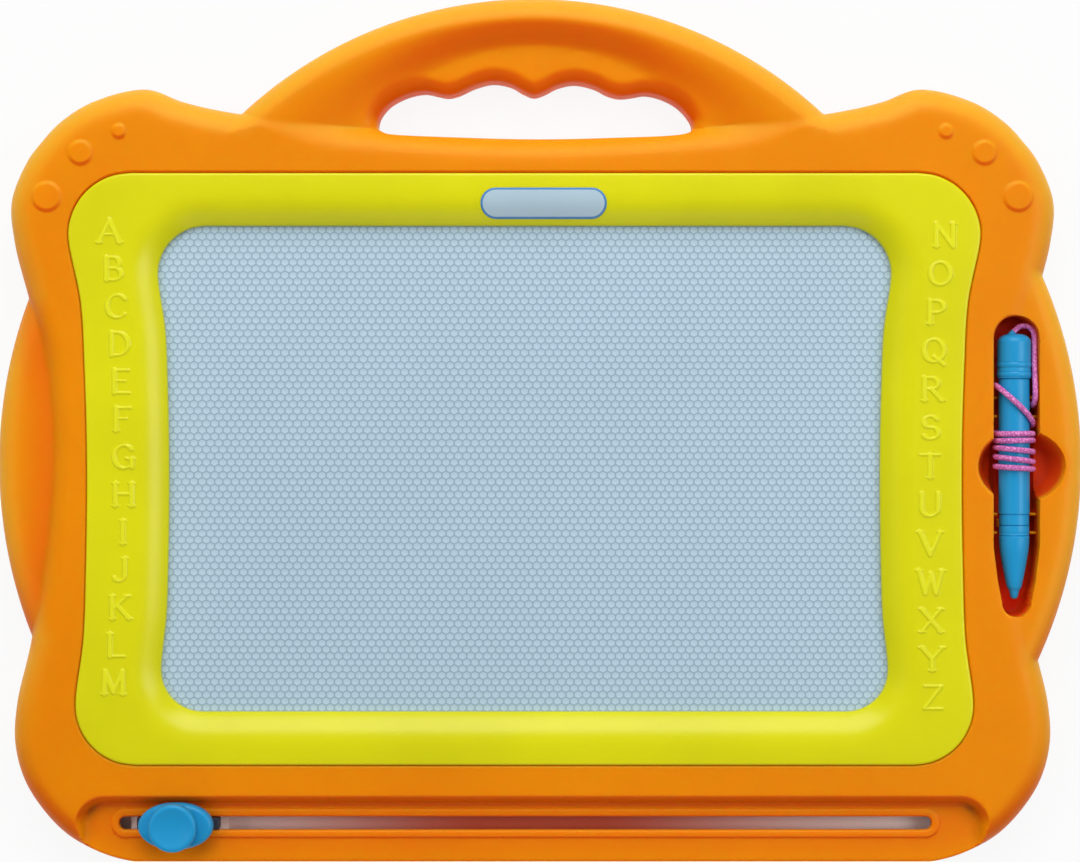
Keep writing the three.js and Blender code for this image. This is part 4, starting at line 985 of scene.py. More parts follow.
def cord_route():
    turns = len(CROSSINGS) - 1
    winding = []
    for i in range(turns * STEPS_PER_TURN // 2 + 1):
        turn = 2 * i / STEPS_PER_TURN
        angle = -math.pi * turn
        winding.append((PEN_X + WIND_RADIUS * math.cos(angle), winding_y(turn),
                        PEN_Z + WIND_RADIUS * math.sin(angle)))
    lead = np.array(CORD_LEAD) + (PEN_X, 0, PEN_Z)
    lead = spline(np.vstack([lead, winding[0]]), CORD_LEAD_STEP, closed=False)
    end = winding[-1]
    return np.vstack([lead[:-1], winding, [(end[0], end[1], end[2] - CORD_DIAMETER)]])


def tube(name, points, radius, sides=20, strands=6, lay=1.6):
    """A closed cord of twisted strands along points."""
    points = even(np.asarray(points, float), CORD_STEP, False)
    ahead = np.gradient(points, axis=0)
    ahead /= np.linalg.norm(ahead, axis=1)[:, None]
    side = np.cross((0, 0, 1), ahead[0])
    angles = np.linspace(0, 2 * math.pi, sides, endpoint=False)
    rings = []
    along = 0.0
    for i, (point, front) in enumerate(zip(points, ahead)):
        side = side - front * (side @ front)
        side /= np.linalg.norm(side)
        up = np.cross(front, side)
        along += np.linalg.norm(point - points[i - 1]) if i else 0
        ridge = np.abs(np.sin(strands / 2 * (angles - 2 * math.pi * along / (lay * strands))))
        reach = radius * (1 - STRAND_DEPTH_SHARE * (1 - ridge**STRAND_POWER))
        rings.append(point + np.outer(reach * np.cos(angles), side) + np.outer(reach * np.sin(angles), up))
    return ringed(name, rings, points[0], points[-1], CORD_ANGLE)


# Materials

def colour(red, green, blue):
    """Linear colour from one read off a screen, 0 to 255."""
    def linear(value):
        value /= 255
        return value / 12.92 if value <= 0.04045 else ((value + 0.055) / 1.055)**2.4
    return (linear(red), linear(green), linear(blue), 1)


def tree(holder):
    """Nodes and links of a material or of the world."""
    holder.use_nodes = True
    return holder.node_tree.nodes, holder.node_tree.links


def fill(node, **values):
    """A shader node with some of its inputs set; an underscore stands for a space in a name."""
    for name, value in values.items():
        node.inputs[name.replace("_", " ")].default_value = value
    return node


def kept_share(name):
    """Reads the number that a piece keeps for each corner under a name."""
    def read(nodes, links, place):
        kept = nodes.new("ShaderNodeAttribute")
        kept.attribute_name = name
        return kept.outputs["Fac"]
    return read


def ramp(nodes, links, value, start, end, most=1):
    """Grows smoothly from 0 to its most while a value goes from start to end."""
    share = fill(nodes.new("ShaderNodeMapRange"), From_Min=start, From_Max=end, To_Max=most)
    share.interpolation_type = "SMOOTHSTEP"
    links.new(value, share.inputs["Value"])
    return share.outputs["Result"]


def slope_share(start, end, most):
    """Grows to its most where the surface tilts from one lean to another, up or down the board: it lays
    painted highlight or painted shade by the way a slope faces.
    """
    def read(nodes, links, place):
        axes = nodes.new("ShaderNodeSeparateXYZ")
        links.new(place.outputs["Normal"], axes.inputs["Vector"])
        return ramp(nodes, links, axes.outputs["Y"], start, end, most)
    return read


def stitch_gap_shade(size, most):
    """A share that is least in the middle of each stitch of a cord, and most between the stitches, where it
    lays painted shade.
    """
    def read(nodes, links, place):
        stitches = fill(nodes.new("ShaderNodeTexVoronoi"), Scale=1 / (size * MM))
        links.new(place.outputs["Object"], stitches.inputs["Vector"])
        return ramp(nodes, links, stitches.outputs["Distance"], *STITCH_EDGES, most)
    return read


def middle_share(nodes, links, place):
    """1 along the middle of the slot, falling to 0 at its ends: where painted shade turns the pale strip
    rust-brown.
    """
    axes = nodes.new("ShaderNodeSeparateXYZ")
    away = nodes.new("ShaderNodeMath")
    away.operation = "ABSOLUTE"
    links.new(place.outputs["Object"], axes.inputs["Vector"])
    links.new(axes.outputs["X"], away.inputs[0])
    return ramp(nodes, links, away.outputs["Value"], SLOT_PALE_X * MM, SLOT_SHADED_X * MM)


def noise(nodes, links, place, scale, detail):
    cloud = fill(nodes.new("ShaderNodeTexNoise"), Scale=scale, Detail=detail)
    links.new(place.outputs["Object"], cloud.inputs["Vector"])
    return cloud.outputs["Fac"]


def surface(name, base, roughness, grain=900, bump=0.02, vary=0.06, metallic=0.0, coat=0.0,
            others=(), **sockets):
    """Plastic or metal with a slight cloud in its colour, an uneven gloss and a fine moulded grain.

    Other colours take over where the functions beside them say so.
    """
    material = bpy.data.materials.new(name)
    nodes, links = tree(material)
    shader = fill(nodes["Principled BSDF"], Metallic=metallic, Coat_Weight=coat,
                  Coat_Roughness=COAT_ROUGHNESS, **sockets)
    place = nodes.new("ShaderNodeTexCoord")
    tint = nodes.new("ShaderNodeValToRGB")
    for mark, position, change in zip(tint.color_ramp.elements, CLOUD_EDGES, (1 - vary, 1 + vary)):
        mark.position = position
        mark.color = tuple(min(value * change, 1) for value in base[:3]) + (1,)
    paint = tint.outputs["Color"]
    for other, share in others:
        mix = nodes.new("ShaderNodeMix")
        mix.data_type = "RGBA"
        mix.inputs["B"].default_value = other
        links.new(share(nodes, links, place), mix.inputs["Factor"])
        links.new(paint, mix.inputs["A"])
        paint = mix.outputs["Result"]
    fine = noise(nodes, links, place, grain, 2)
    gloss = fill(nodes.new("ShaderNodeMapRange"), To_Min=roughness - GLOSS_SPREAD,
                 To_Max=roughness + GLOSS_SPREAD)
    relief = fill(nodes.new("ShaderNodeBump"), Strength=GRAIN_STRENGTH, Distance=bump * MM)
    links.new(noise(nodes, links, place, CLOUD_SCALE, 3), tint.inputs["Fac"])
    links.new(paint, shader.inputs["Base Color"])
    links.new(fine, gloss.inputs["Value"])
    links.new(gloss.outputs["Result"], shader.inputs["Roughness"])
    links.new(fine, relief.inputs["Height"])
    links.new(relief.outputs["Normal"], shader.inputs["Normal"])
    return material


# Painted light on the orange: a painted highlight on slopes that face up the board and along the rim, and
# painted shade on slopes that face the board's foot, in sunk places and in the left wing's crease
ORANGE_PAINTED_LIGHT = [
    (colour(255, 176, 30), slope_share(0, 0.5, 0.45)),
    (colour(255, 176, 50), kept_share("rim")),
    (colour(232, 84, 4), slope_share(-0.02, -0.42, 0.7)),
    (colour(244, 66, 14), kept_share("sunk")),
]
ORANGE = surface("orange_plastic", colour(249, 142, 3), 0.42, others=ORANGE_PAINTED_LIGHT,
                 Specular_IOR_Level=0.12, Subsurface_Weight=0.6, Subsurface_Radius=(1, 0.3, 0.06),
                 Subsurface_Scale=0.006)
YELLOW = surface("yellow_plastic", colour(221, 217, 4), 0.3,
                 others=[(colour(229, 227, 30), kept_share("letter"))], Specular_IOR_Level=0.35,
                 Subsurface_Weight=0.3, Subsurface_Radius=(1, 0.9, 0.05), Subsurface_Scale=0.004)
BLUE = surface("blue_plastic", colour(26, 150, 206), 0.36, Specular_IOR_Level=0.35)
# The slot block is blue plastic; its dark navy is painted shade of the slot it sits in.
SHADED_BLUE = surface("dark_plastic", colour(36, 44, 60), 0.5)
GREY = surface("grey_plastic", colour(200, 196, 192), 0.5)
# The strip is pale; its rust-brown in the middle of the slot is painted shade of the deep, narrow slot.
STRIP = surface("slot_strip", colour(250, 236, 228), 0.5, vary=0.02,
                others=[(colour(214, 92, 62), middle_share)])
CELL = surface("screen_cell", colour(181, 206, 223), 0.4, coat=0.3, vary=0.02)
CELL_LINE = surface("screen_cell_wall", colour(148, 174, 192), 0.45, coat=0.3, vary=0.02)
LABEL = surface("label_face", colour(176, 200, 214), 0.4, coat=0.3)
LABEL_EDGE = surface("label_edge", colour(70, 130, 190), 0.4, coat=0.3)
MAGNET = surface("ferrite_magnet", colour(46, 46, 50), 0.7, grain=1500, bump=0.05)
STEEL = surface("screw_steel", colour(190, 192, 196), 0.35, metallic=1.0)
# darker pink between the stitches: painted shade in the gaps of the braid
NYLON = surface("pink_nylon", colour(242, 150, 214), 0.75, grain=2600, bump=0.06, vary=0.1,
                others=[(colour(172, 66, 148), stitch_gap_shade(STITCH_SIZE, 0.75))])


def dress(obj, body, slot, *materials):
    for material in materials:
        obj.data.materials.append(material)
    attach(obj, body)


# Pieces of the case

def edge_depths(radius, count=9):
    return [radius * (1 - math.cos(math.pi / 2 * i / count)) for i in range(1, count + 1)]


def outwards(distances):
    return [-distance for distance in distances]


def pocket_rows(lip, draft, fillet):
    turn = [math.sin(math.pi / 2 * i / 4) for i in range(5)]
    return [-lip * (1 - s) for s in turn] + [draft, draft / 2] + [draft + fillet * (1 - s) for s in turn]


def boss_spots():
    spots = [(BODY_SHIFT + x * BODY_HALF_WIDTH, y * HALF_HEIGHT) for x, y in BOSS_PLACE_SHARES]
    for side, row in zip((-1, 1), WING_BOSS_ROW_SHARES):
        spots.append((side * (HALF_WIDTH - WING_BOSS_INSET), row * HALF_HEIGHT))
    return np.array(spots)


def boss_distance(spots):
    """Distance to the axis of the nearest screw in the back."""
    return np.min([np.hypot(*(spots - centre).T) for centre in boss_spots()], axis=0)


def case_depth(spots):
    """Distance to the nearest edge of the case, the hand opening's too, positive in the case."""
    return np.minimum(depth_in(spots, SILHOUETTE), -depth_in(spots, OPENING))


def seam_rim(z):
    """Levels of a rim that is drawn in to the groove between the shells."""
    high, low = SEAM_LEVELS
    return [(0, z + high), (GROOVE, z + low), (GROOVE, z)]


def front_marks(slot):
    """Spots along everything that the top of the front shell has to follow."""
    marks = [
        rows(SILHOUETTE, edge_depths(BODY_EDGE)),
        rows(SILHOUETTE, edge_depths(WING_EDGE, 5)),
        rows(slot, outwards(SLOT_RINGS)),
        rows(even(TRAY, FINE_STEP, True), pocket_rows(*TRAY_POCKET)),
        rows(BEZEL, [ring - BEZEL_GAP for ring in outwards(BEZEL_SEAT_RINGS)]),
        shelf_row(0),
        rows(OPENING, outwards(OPENING_RINGS)),
        rows(BODY, outwards(CREASE_RINGS) + edge_depths(BODY_EDGE)),
        arc(HANDLE_CENTRE, HANDLE_RADIUS - CREST_DEPTH, CREST_START, math.pi - CREST_START, CREST_STEPS),
        arc(LENS_CENTRE, LENS_RADIUS, LENS_START, math.pi - LENS_START, LENS_STEPS),
    ]
    marks += [shelf_row(inset + SHELF_POCKET[0]) for inset in pocket_rows(*SHELF_POCKET)]
    marks += [ellipse(DISH_CENTRE, np.array(DISH_HALF) * share) for share in DISH_RING_SHARES]
    for centre, radius in dot_spots():
        marks += [circle(centre, radius - inset, RING_STEP) for inset in DOT_RINGS]
    return marks


def front_shell():
    window = offset(OPEN, -WINDOW_OFFSET)
    slot = slot_outline()
    loops = [SILHOUETTE, OPENING[::-1], window[::-1], slot[::-1]]
    spots = filled(thinned(np.vstack(front_marks(slot)), FRONT_GAP), FRONT_PITCH)
    spots = spots[case_depth(spots) > EDGE_GAP]
    spots = spots[depth_in(spots, window) < -EDGE_GAP]
    spots = spots[slot_gap(spots) > SLOT_EDGE_GAP]
    rims = [seam_rim(PARTING_Z), seam_rim(PARTING_Z), [(0, LEDGE_Z - WALL)], [(0, SHELF_Z - WALL)]]
    under_marks = [
        rows(SILHOUETTE, (WALL, WALL + WALL_STEP, *SIDE_RINGS)),
        rows(OPENING, (-WALL, -WALL - WALL_STEP)),
        rows(even(TRAY, 2 * FINE_STEP, True), TRAY_UNDER_RINGS),
        ellipse(DISH_CENTRE, DISH_HALF, 60),
        ellipse(DISH_CENTRE, np.array(DISH_HALF) * DISH_UNDER_SHARE, 60),
    ]
    low_spots = filled(thinned(np.vstack(under_marks), UNDER_GAP), FRONT_UNDER_PITCH)
    low_spots = low_spots[case_depth(low_spots) > GROOVE + UNDER_GAP]
    low_spots = low_spots[(depth_in(low_spots, window) < -UNDER_GAP) & (slot_gap(low_spots) > UNDER_GAP)]

    def under(spots):
        return np.where(case_depth(spots) < WALL + WALL_FOLD, PARTING_Z, front_height(spots) - WALL)

    shape = shell("case_front", loops, front_height, spots, rims, under, low_spots)
    mark_places(shape)
    dress(shape, "board", "orange_shell", ORANGE)
    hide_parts("front_shell")


def corners_of(shape):
    return np.array([vertex.co for vertex in shape.data.vertices]) / MM


def keep_shares(shape, name, shares):
    """Keeps a number for each corner, for the finish to read."""
    numbers = shape.data.attributes.new(name, "FLOAT", "POINT")
    numbers.data.foreach_set("value", shares.astype(np.float32))


def mark_places(shape):
    """Keeps painted shade, a redder orange, where the case is sunk and in the left wing's crease, and a
    painted highlight along its rim, fading towards the board's foot.
    """
    corners = corners_of(shape)
    plan = corners[:, :2]
    shown = corners[:, 2] > PARTING_Z
    fall = case_height(plan) - corners[:, 2]
    reach = np.hypot(*((plan - DISH_CENTRE) / DISH_HALF).T)
    away = np.minimum(-depth_in(plan, TRAY), (reach - 1) * DISH_HALF[1])
    clear = smooth(away / RIM_TRAY_GAP)
    sunk = np.maximum(smooth(fall / SUNK_DEPTH), (1 - clear) * smooth(fall / TRAY_SUNK_DEPTH))
    beyond = -depth_in(plan, BODY)
    outer, inner = CREASE_WIDTHS
    crease_shade = smooth(np.where(beyond > 0, 1 - beyond / outer, 1 + beyond / inner))
    crease_shade *= CREASE_SHADE_SHARE * (wing_depth(plan, -1) > 0)
    # painted shade: a deeper, redder orange in the pockets and in the left wing's crease
    keep_shares(shape, "sunk", shown * np.maximum(sunk, crease_shade))
    # painted highlight: a yellower band along the rim, fading towards the board's foot and down the side
    # walls
    edge = np.maximum(depth_in(plan, SILHOUETTE), 0)
    low, high = RIM_FADE_YS
    rise = smooth((plan[:, 1] - low) / (high - low))
    foot = smooth((corners[:, 2] - PARTING_Z) / RIM_FOOT)
    rim = rise * clear * foot * smooth(1 - edge / RIM_WIDTH)
    keep_shares(shape, "rim", shown * RIM_HIGHLIGHT_SHARE * rim)


def rear_surface(spots):
    """Outside of the back, as heights towards the back."""
    height = -BACK_EDGE * quarter(1 - case_depth(spots) / BACK_EDGE)
    depth = BORE_RADIUS - boss_distance(spots)
    return np.minimum(height, pocket(depth, 0, -SCREW_SEAT_Z, *BORE_POCKET))


def rear_shell():
    loops = [SILHOUETTE, OPENING[::-1]]
    edges = edge_depths(BACK_EDGE, 7)
    marks = [rows(SILHOUETTE, edges), rows(OPENING, outwards(edges))]
    marks += [circle(centre, radius, BORE_STEP) for centre in boss_spots() for radius in BORE_RADII]
    spots = filled(thinned(np.vstack(marks), REAR_GAP), REAR_PITCH)
    spots = spots[case_depth(spots) > FINE_EDGE_GAP]
    under_marks = [rows(SILHOUETTE, (WALL, WALL + WALL_STEP)), rows(OPENING, (-WALL, -WALL - WALL_STEP))]
    under_marks += [circle(centre, radius, OUTLINE_STEP) for centre in boss_spots() for radius in BOSS_RADII]
    low_spots = filled(thinned(np.vstack(under_marks), UNDER_GAP), REAR_UNDER_PITCH)
    low_spots = low_spots[case_depth(low_spots) > GROOVE + UNDER_GAP]

    def under(spots):
        floor = np.where(boss_distance(spots) < BOSS_INNER, -PARTING_Z + BOSS_GAP, -REAR_FLOOR)
        return np.where(case_depth(spots) < WALL + WALL_FOLD, -PARTING_Z, floor)

    rims = [seam_rim(-PARTING_Z), seam_rim(-PARTING_Z)]
    shape = shell("case_back", loops, rear_surface, spots, rims, under, low_spots, flip=True)
    dress(shape, "board", "orange_shell", ORANGE)
    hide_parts("rear_shell")


# Letters: strokes in a unit box, drawn with a broad pen so that uprights are thick and bars thin

def bow(centre_x, centre_y, half_x, half_y, start, end, steps=14):
    angles = np.radians(np.linspace(start, end, steps))
    return [(centre_x + half_x * math.cos(a), centre_y + half_y * math.sin(a)) for a in angles]


GLYPH_SHARES = {
    "A": [[(0.06, 0), (0.5, 1)], [(0.5, 1), (0.94, 0)], [(0.24, 0.36), (0.76, 0.36)]],
    "B": [[(0.2, 0), (0.2, 1)], [(0.2, 1), *bow(0.5, 0.76, 0.26, 0.24, 90, -90), (0.2, 0.52)],
          [(0.2, 0.52), *bow(0.52, 0.26, 0.32, 0.26, 90, -90), (0.2, 0)]],
    "C": [bow(0.53, 0.5, 0.43, 0.5, 42, 318, 26)],
    "D": [[(0.17, 0), (0.17, 1)], [(0.17, 1), *bow(0.42, 0.5, 0.46, 0.5, 90, -90, 20), (0.17, 0)]],
    "E": [[(0.2, 0), (0.2, 1)], [(0.2, 1), (0.84, 1)], [(0.2, 0.53), (0.66, 0.53)], [(0.2, 0), (0.86, 0)]],
    "F": [[(0.22, 0), (0.22, 1)], [(0.22, 1), (0.84, 1)], [(0.22, 0.53), (0.66, 0.53)]],
    "G": [bow(0.53, 0.5, 0.43, 0.5, 42, 318, 26), [(0.86, 0.06), (0.86, 0.42)],
          [(0.6, 0.42), (0.98, 0.42)]],
    "H": [[(0.15, 0), (0.15, 1)], [(0.85, 0), (0.85, 1)], [(0.15, 0.52), (0.85, 0.52)]],
    "I": [[(0.5, 0), (0.5, 1)]],
    "J": [[(0.64, 1), (0.64, 0.26)], bow(0.4, 0.26, 0.24, 0.26, 0, -150)],
    "K": [[(0.18, 0), (0.18, 1)], [(0.2, 0.4), (0.82, 1)], [(0.4, 0.58), (0.9, 0)]],
    "L": [[(0.2, 0), (0.2, 1)], [(0.2, 0), (0.84, 0)]],
    "M": [[(0.1, 0), (0.14, 1)], [(0.14, 1), (0.5, 0.08)], [(0.5, 0.08), (0.86, 1)],
          [(0.86, 1), (0.9, 0)]],
    "N": [[(0.14, 0), (0.14, 1)], [(0.14, 1), (0.86, 0)], [(0.86, 0), (0.86, 1)]],
    "O": [bow(0.5, 0.5, 0.43, 0.5, 0, 360, 32)],
    "P": [[(0.2, 0), (0.2, 1)], [(0.2, 1), *bow(0.5, 0.74, 0.3, 0.26, 90, -90), (0.2, 0.48)]],
    "Q": [bow(0.5, 0.5, 0.43, 0.5, 0, 360, 32), [(0.52, 0.22), (0.92, -0.12)]],
    "R": [[(0.18, 0), (0.18, 1)], [(0.18, 1), *bow(0.48, 0.75, 0.28, 0.25, 90, -90), (0.18, 0.5)],
          [(0.46, 0.5), (0.92, 0)]],
    "S": [[*bow(0.5, 0.75, 0.3, 0.25, 30, 250), *bow(0.5, 0.26, 0.33, 0.26, 70, -150)]],
    "T": [[(0.5, 0), (0.5, 1)], [(0.08, 1), (0.92, 1)]],
    "U": [[(0.15, 1), (0.15, 0.34), *bow(0.5, 0.34, 0.35, 0.34, 180, 360), (0.85, 1)]],
    "V": [[(0.06, 1), (0.5, 0)], [(0.5, 0), (0.94, 1)]],
    "W": [[(0, 1), (0.27, 0)], [(0.27, 0), (0.5, 0.86)], [(0.5, 0.86), (0.73, 0)], [(0.73, 0), (1, 1)]],
    "X": [[(0.1, 1), (0.9, 0)], [(0.1, 0), (0.9, 1)]],
    "Y": [[(0.06, 1), (0.5, 0.48)], [(0.94, 1), (0.5, 0.48)], [(0.5, 0.48), (0.5, 0)]],
    "Z": [[(0.14, 1), (0.86, 1)], [(0.86, 1), (0.12, 0)], [(0.12, 0), (0.9, 0)]],
}
LETTER_HEIGHT = 8.7
LETTER_WIDTH = 9.0
LETTER_RISE = 0.5
LETTER_EDGE = 0.55
LETTER_THICK = 1.2
LETTER_THIN = 0.6
LETTER_SLANT = 15
LETTER_UPRIGHT_SHARE = 0.3
LETTER_PATCH_HALF = 6.6
LETTER_PATCH_STEP = 0.3
LETTER_REACH_SHARE = 0.75
SERIF_SHARE = 0.13
LETTERS_PER_SIDE = 13
LETTER_HALF_WIDTHS = {-1: (159.7, 153.9, 159.0), 1: (161.9, 155.7, 157.1)}
LETTER_TOP_YS = {-1: 76.6, 1: 75.1}
LETTER_STEPS = {-1: 14.45, 1: 14.8}


def letter_places():
    """Centre of each letter: half of them down the left side of the bezel, half down the right."""
    places = []
    for i, name in enumerate(GLYPH_SHARES):
        side = -1 if i < LETTERS_PER_SIDE else 1
        y = LETTER_TOP_YS[side] - i % LETTERS_PER_SIDE * LETTER_STEPS[side]
        x = waisted_half(y - SCREEN_Y, LETTER_HALF_WIDTHS[side], OPEN_HALF_HEIGHT)
        places.append((name, np.array([SCREEN_X + side * float(x), y])))
    return places


def glyph_strokes(name):
    """Straight stretches of a letter and their half widths, in millimetres about its centre."""
    strokes = GLYPH_SHARES[name]
    size = np.array([LETTER_WIDTH, LETTER_HEIGHT])
    ends = [tuple(spot) for stroke in strokes for spot in (stroke[0], stroke[-1])]
    starts, stops, halves = [], [], []
    for stroke in strokes:
        path = (np.array(stroke) - 0.5) * size
        for a, b in zip(path, path[1:]):
            turn = math.atan2(b[1] - a[1], b[0] - a[0]) - math.radians(LETTER_SLANT)
            starts.append(a)
            stops.append(b)
            halves.append(LETTER_THIN + (LETTER_THICK - LETTER_THIN) * math.sin(turn)**2)
        upright = len(stroke) == 2 and abs(stroke[1][1] - stroke[0][1]) > LETTER_UPRIGHT_SHARE
        for spot in (stroke[0], stroke[-1]):
            if upright and spot[1] in (0, 1) and ends.count(tuple(spot)) == 1:
                middle = (np.array(spot) - 0.5) * size
                starts.append(middle - (SERIF_SHARE * LETTER_WIDTH, 0))
                stops.append(middle + (SERIF_SHARE * LETTER_WIDTH, 0))
                halves.append(LETTER_THIN)
    return np.array(starts), np.array(stops), np.array(halves)


def letter_height(spots):
    """Rise of the raised letters over the bezel."""
    rise = np.zeros(len(spots))
    reach = max(LETTER_WIDTH, LETTER_HEIGHT) * LETTER_REACH_SHARE
    for name, centre in letter_places():
        near = np.abs(spots - centre).max(axis=1) < reach
        if not near.any():
            continue
        local = spots[near] - centre
        depth = np.full(len(local), -FAR)
        for start, stop, half in zip(*glyph_strokes(name)):
            depth = np.maximum(depth, half - distance_to(local, start[None], stop[None]))
        rise[near] = LETTER_RISE * smooth(depth / LETTER_EDGE)
    return rise


def bezel_slope(away):
    return BEZEL_Z - SLOPE_FALL * np.maximum(1 - away / SLOPE_WIDTH, 0)**SLOPE_POWER


def bezel_height(spots):
    edge = depth_in(spots, BEZEL)
    away = -depth_in(spots, OPEN)
    height = bezel_slope(away) - BEZEL_RIM * quarter(1 - edge / BEZEL_RIM)
    return height - OPEN_LIP * quarter(1 - away / OPEN_LIP) + letter_height(spots)


def mark_letters(shape):
    corners = corners_of(shape)
    shown = corners[:, 2] > LEDGE_Z + BEZEL_RIM
    keep_shares(shape, "letter", shown * letter_height(corners[:, :2]) / LETTER_RISE)


def on_bezel(spots, least):
    return spots[np.minimum(depth_in(spots, BEZEL), -depth_in(spots, OPEN)) > least]


def bezel():
    loops = [BEZEL, OPEN[::-1]]
    patch = square_grid(LETTER_PATCH_HALF, LETTER_PATCH_STEP)
    marks = [
        rows(BEZEL, edge_depths(BEZEL_RIM, 6)),
        rows(OPEN, outwards(SCREEN_SIDE_RINGS)),
        *[patch + centre for _, centre in letter_places()],
    ]
    spots = on_bezel(filled(thinned(np.vstack(marks), FACE_GAP), FACE_PITCH), FINE_EDGE_GAP)
    under_rings = outwards((BEZEL_FOOT, BEZEL_FOOT + UNDER_GAP, *BEZEL_UNDER_RINGS))
    low_spots = on_bezel(filled(rows(OPEN, under_rings), FACE_UNDER_PITCH), UNDER_GAP)

    def under(spots):
        away = -depth_in(spots, OPEN)
        hollow = np.minimum(bezel_slope(away) - BEZEL_SKIN, LEDGE_Z + SEAT_GAP)
        return np.where(away < BEZEL_FOOT + WALL_FOLD, FILM_TOP_Z + SEAT_GAP, hollow)

    rims = [[(0, LEDGE_Z + SEAT_GAP)], [(0, FILM_TOP_Z + SEAT_GAP)]]
    shape = shell("bezel", loops, bezel_height, spots, rims, under, low_spots)
    mark_letters(shape)
    dress(shape, "board", "yellow_bezel", YELLOW)
    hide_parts("bezel_frame")


def label_place():
    x, y = LABEL_CENTRE
    outline = stadium(x - LABEL_HALF_WIDTH, x + LABEL_HALF_WIDTH, y, LABEL_HALF_HEIGHT, LABEL_STEP)

    def top(spots):
        edge = depth_in(spots, outline)
        rounding = LABEL_ROUNDING * quarter(1 - edge / LABEL_ROUNDING)
        return bezel_slope(-depth_in(spots, OPEN)) + LABEL_THICK - rounding

    def under(spots):
        return bezel_slope(-depth_in(spots, OPEN)) - LABEL_SEAT

    marks = rows(outline, (LABEL_INSET, LABEL_ROUNDING, LABEL_BORDER, LABEL_BORDER + LABEL_LINE))
    spots = filled(marks, LABEL_PITCH, LABEL_REACH)
    spots = spots[depth_in(spots, outline) > LABEL_EDGE_GAP]
    shape = shell("label_place", [outline], top, spots, [[(0, LABEL_FOOT_Z)]], under, spots)
    dress(shape, "board", "screen_film", LABEL, LABEL_EDGE)
    middles = np.array([face.center[:2] for face in shape.data.polygons]) / MM
    edge = depth_in(middles, outline)
    for face, depth in zip(shape.data.polygons, edge):
        face.material_index = int(depth < LABEL_BORDER + LABEL_SLACK)


def screen_cells():
    """Honeycomb of sunk cells between raised walls, under a glossy film."""
    rise = CELL_PITCH / 3 * 2
    half = CELL_WIDTH / 2
    low = rise / 2
    ring = np.array([(0, rise), (half, low), (half, -low), (0, -rise), (-half, -low), (-half, low)])
    inner = ring * (1 - CELL_WALL / CELL_WIDTH * 2)
    keys, corners, faces = {}, [], []

    def lattice(x, y):
        key = (round(x / LATTICE_STEP), round(y / LATTICE_STEP))
        if key not in keys:
            keys[key] = len(corners)
            corners.append((x, y, FILM_TOP_Z - SEAT_GAP))
        return keys[key]

    last_row = int(PANEL_HALF_HEIGHT / CELL_PITCH) - 1
    last_column = int(PANEL_HALF_WIDTH / CELL_WIDTH) - 2
    for row in range(-last_row, last_row + 1):
        shift = (row % 2) * half
        for column in range(-last_column, last_column + 1):
            centre = np.array([SCREEN_X + column * CELL_WIDTH + shift, SCREEN_Y + row * CELL_PITCH])
            outer = [lattice(*(centre + spot)) for spot in ring]
            well = list(range(len(corners), len(corners) + 6))
            corners += [(*(centre + spot), FILM_TOP_Z - CELL_SINK) for spot in inner]
            faces.append(well[::-1])
            faces += [(outer[i - 1], well[i - 1], well[i], outer[i]) for i in range(6)]
    shape = made("screen_cells", corners, faces, CELL_ANGLE)
    close_below(shape, (FILM_TOP_Z - FILM_THICK) * MM)
    dress(shape, "board", "screen_film", CELL, CELL_LINE)
    for face in shape.data.polygons[:len(faces)]:
        face.material_index = int(face.loop_total == 4)
    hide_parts("screen_front_film")


def close_below(obj, z):
    """Closes an open sheet with a skirt down to a flat underside."""
    work = bmesh.new()
    work.from_mesh(obj.data)
    open_edges = [edge for edge in work.edges if edge.is_boundary]
    drawn = bmesh.ops.extrude_edge_only(work, edges=open_edges)["geom"]
    for item in drawn:
        if isinstance(item, bmesh.types.BMVert):
            item.co.z = z
    fresh = [item for item in drawn if isinstance(item, bmesh.types.BMEdge)]
    bmesh.ops.holes_fill(work, edges=fresh, sides=0)
    bmesh.ops.recalc_face_normals(work, faces=work.faces)
    work.to_mesh(obj.data)
    work.free()


# Eraser

def lens_outline(inset, steps=96):
    angles = np.linspace(0, 2 * math.pi, steps, endpoint=False)
    x = np.sign(np.cos(angles)) * np.abs(np.cos(angles))**KNOB_POWERS[0] * (KNOB_HALF_LENGTH - inset)
    y = np.sign(np.sin(angles)) * np.abs(np.sin(angles))**KNOB_POWERS[1] * (KNOB_HALF_WIDTH - inset)
    return np.column_stack([KNOB_X + x, SLOT_Y + y])


def rounding(radius, steps=6):
    """Insets and rises of a rounded edge, from its side up to its top."""
    turn = np.linspace(0, math.pi / 2, steps + 1)
    return [(radius * (1 - math.cos(angle)), radius * math.sin(angle)) for angle in turn]


def closed_profile(rings):
    """A profile for lathe: rings with their first and last level brought to the axis."""
    return [(0, rings[0][1]), *rings, (0, rings[-1][1])]


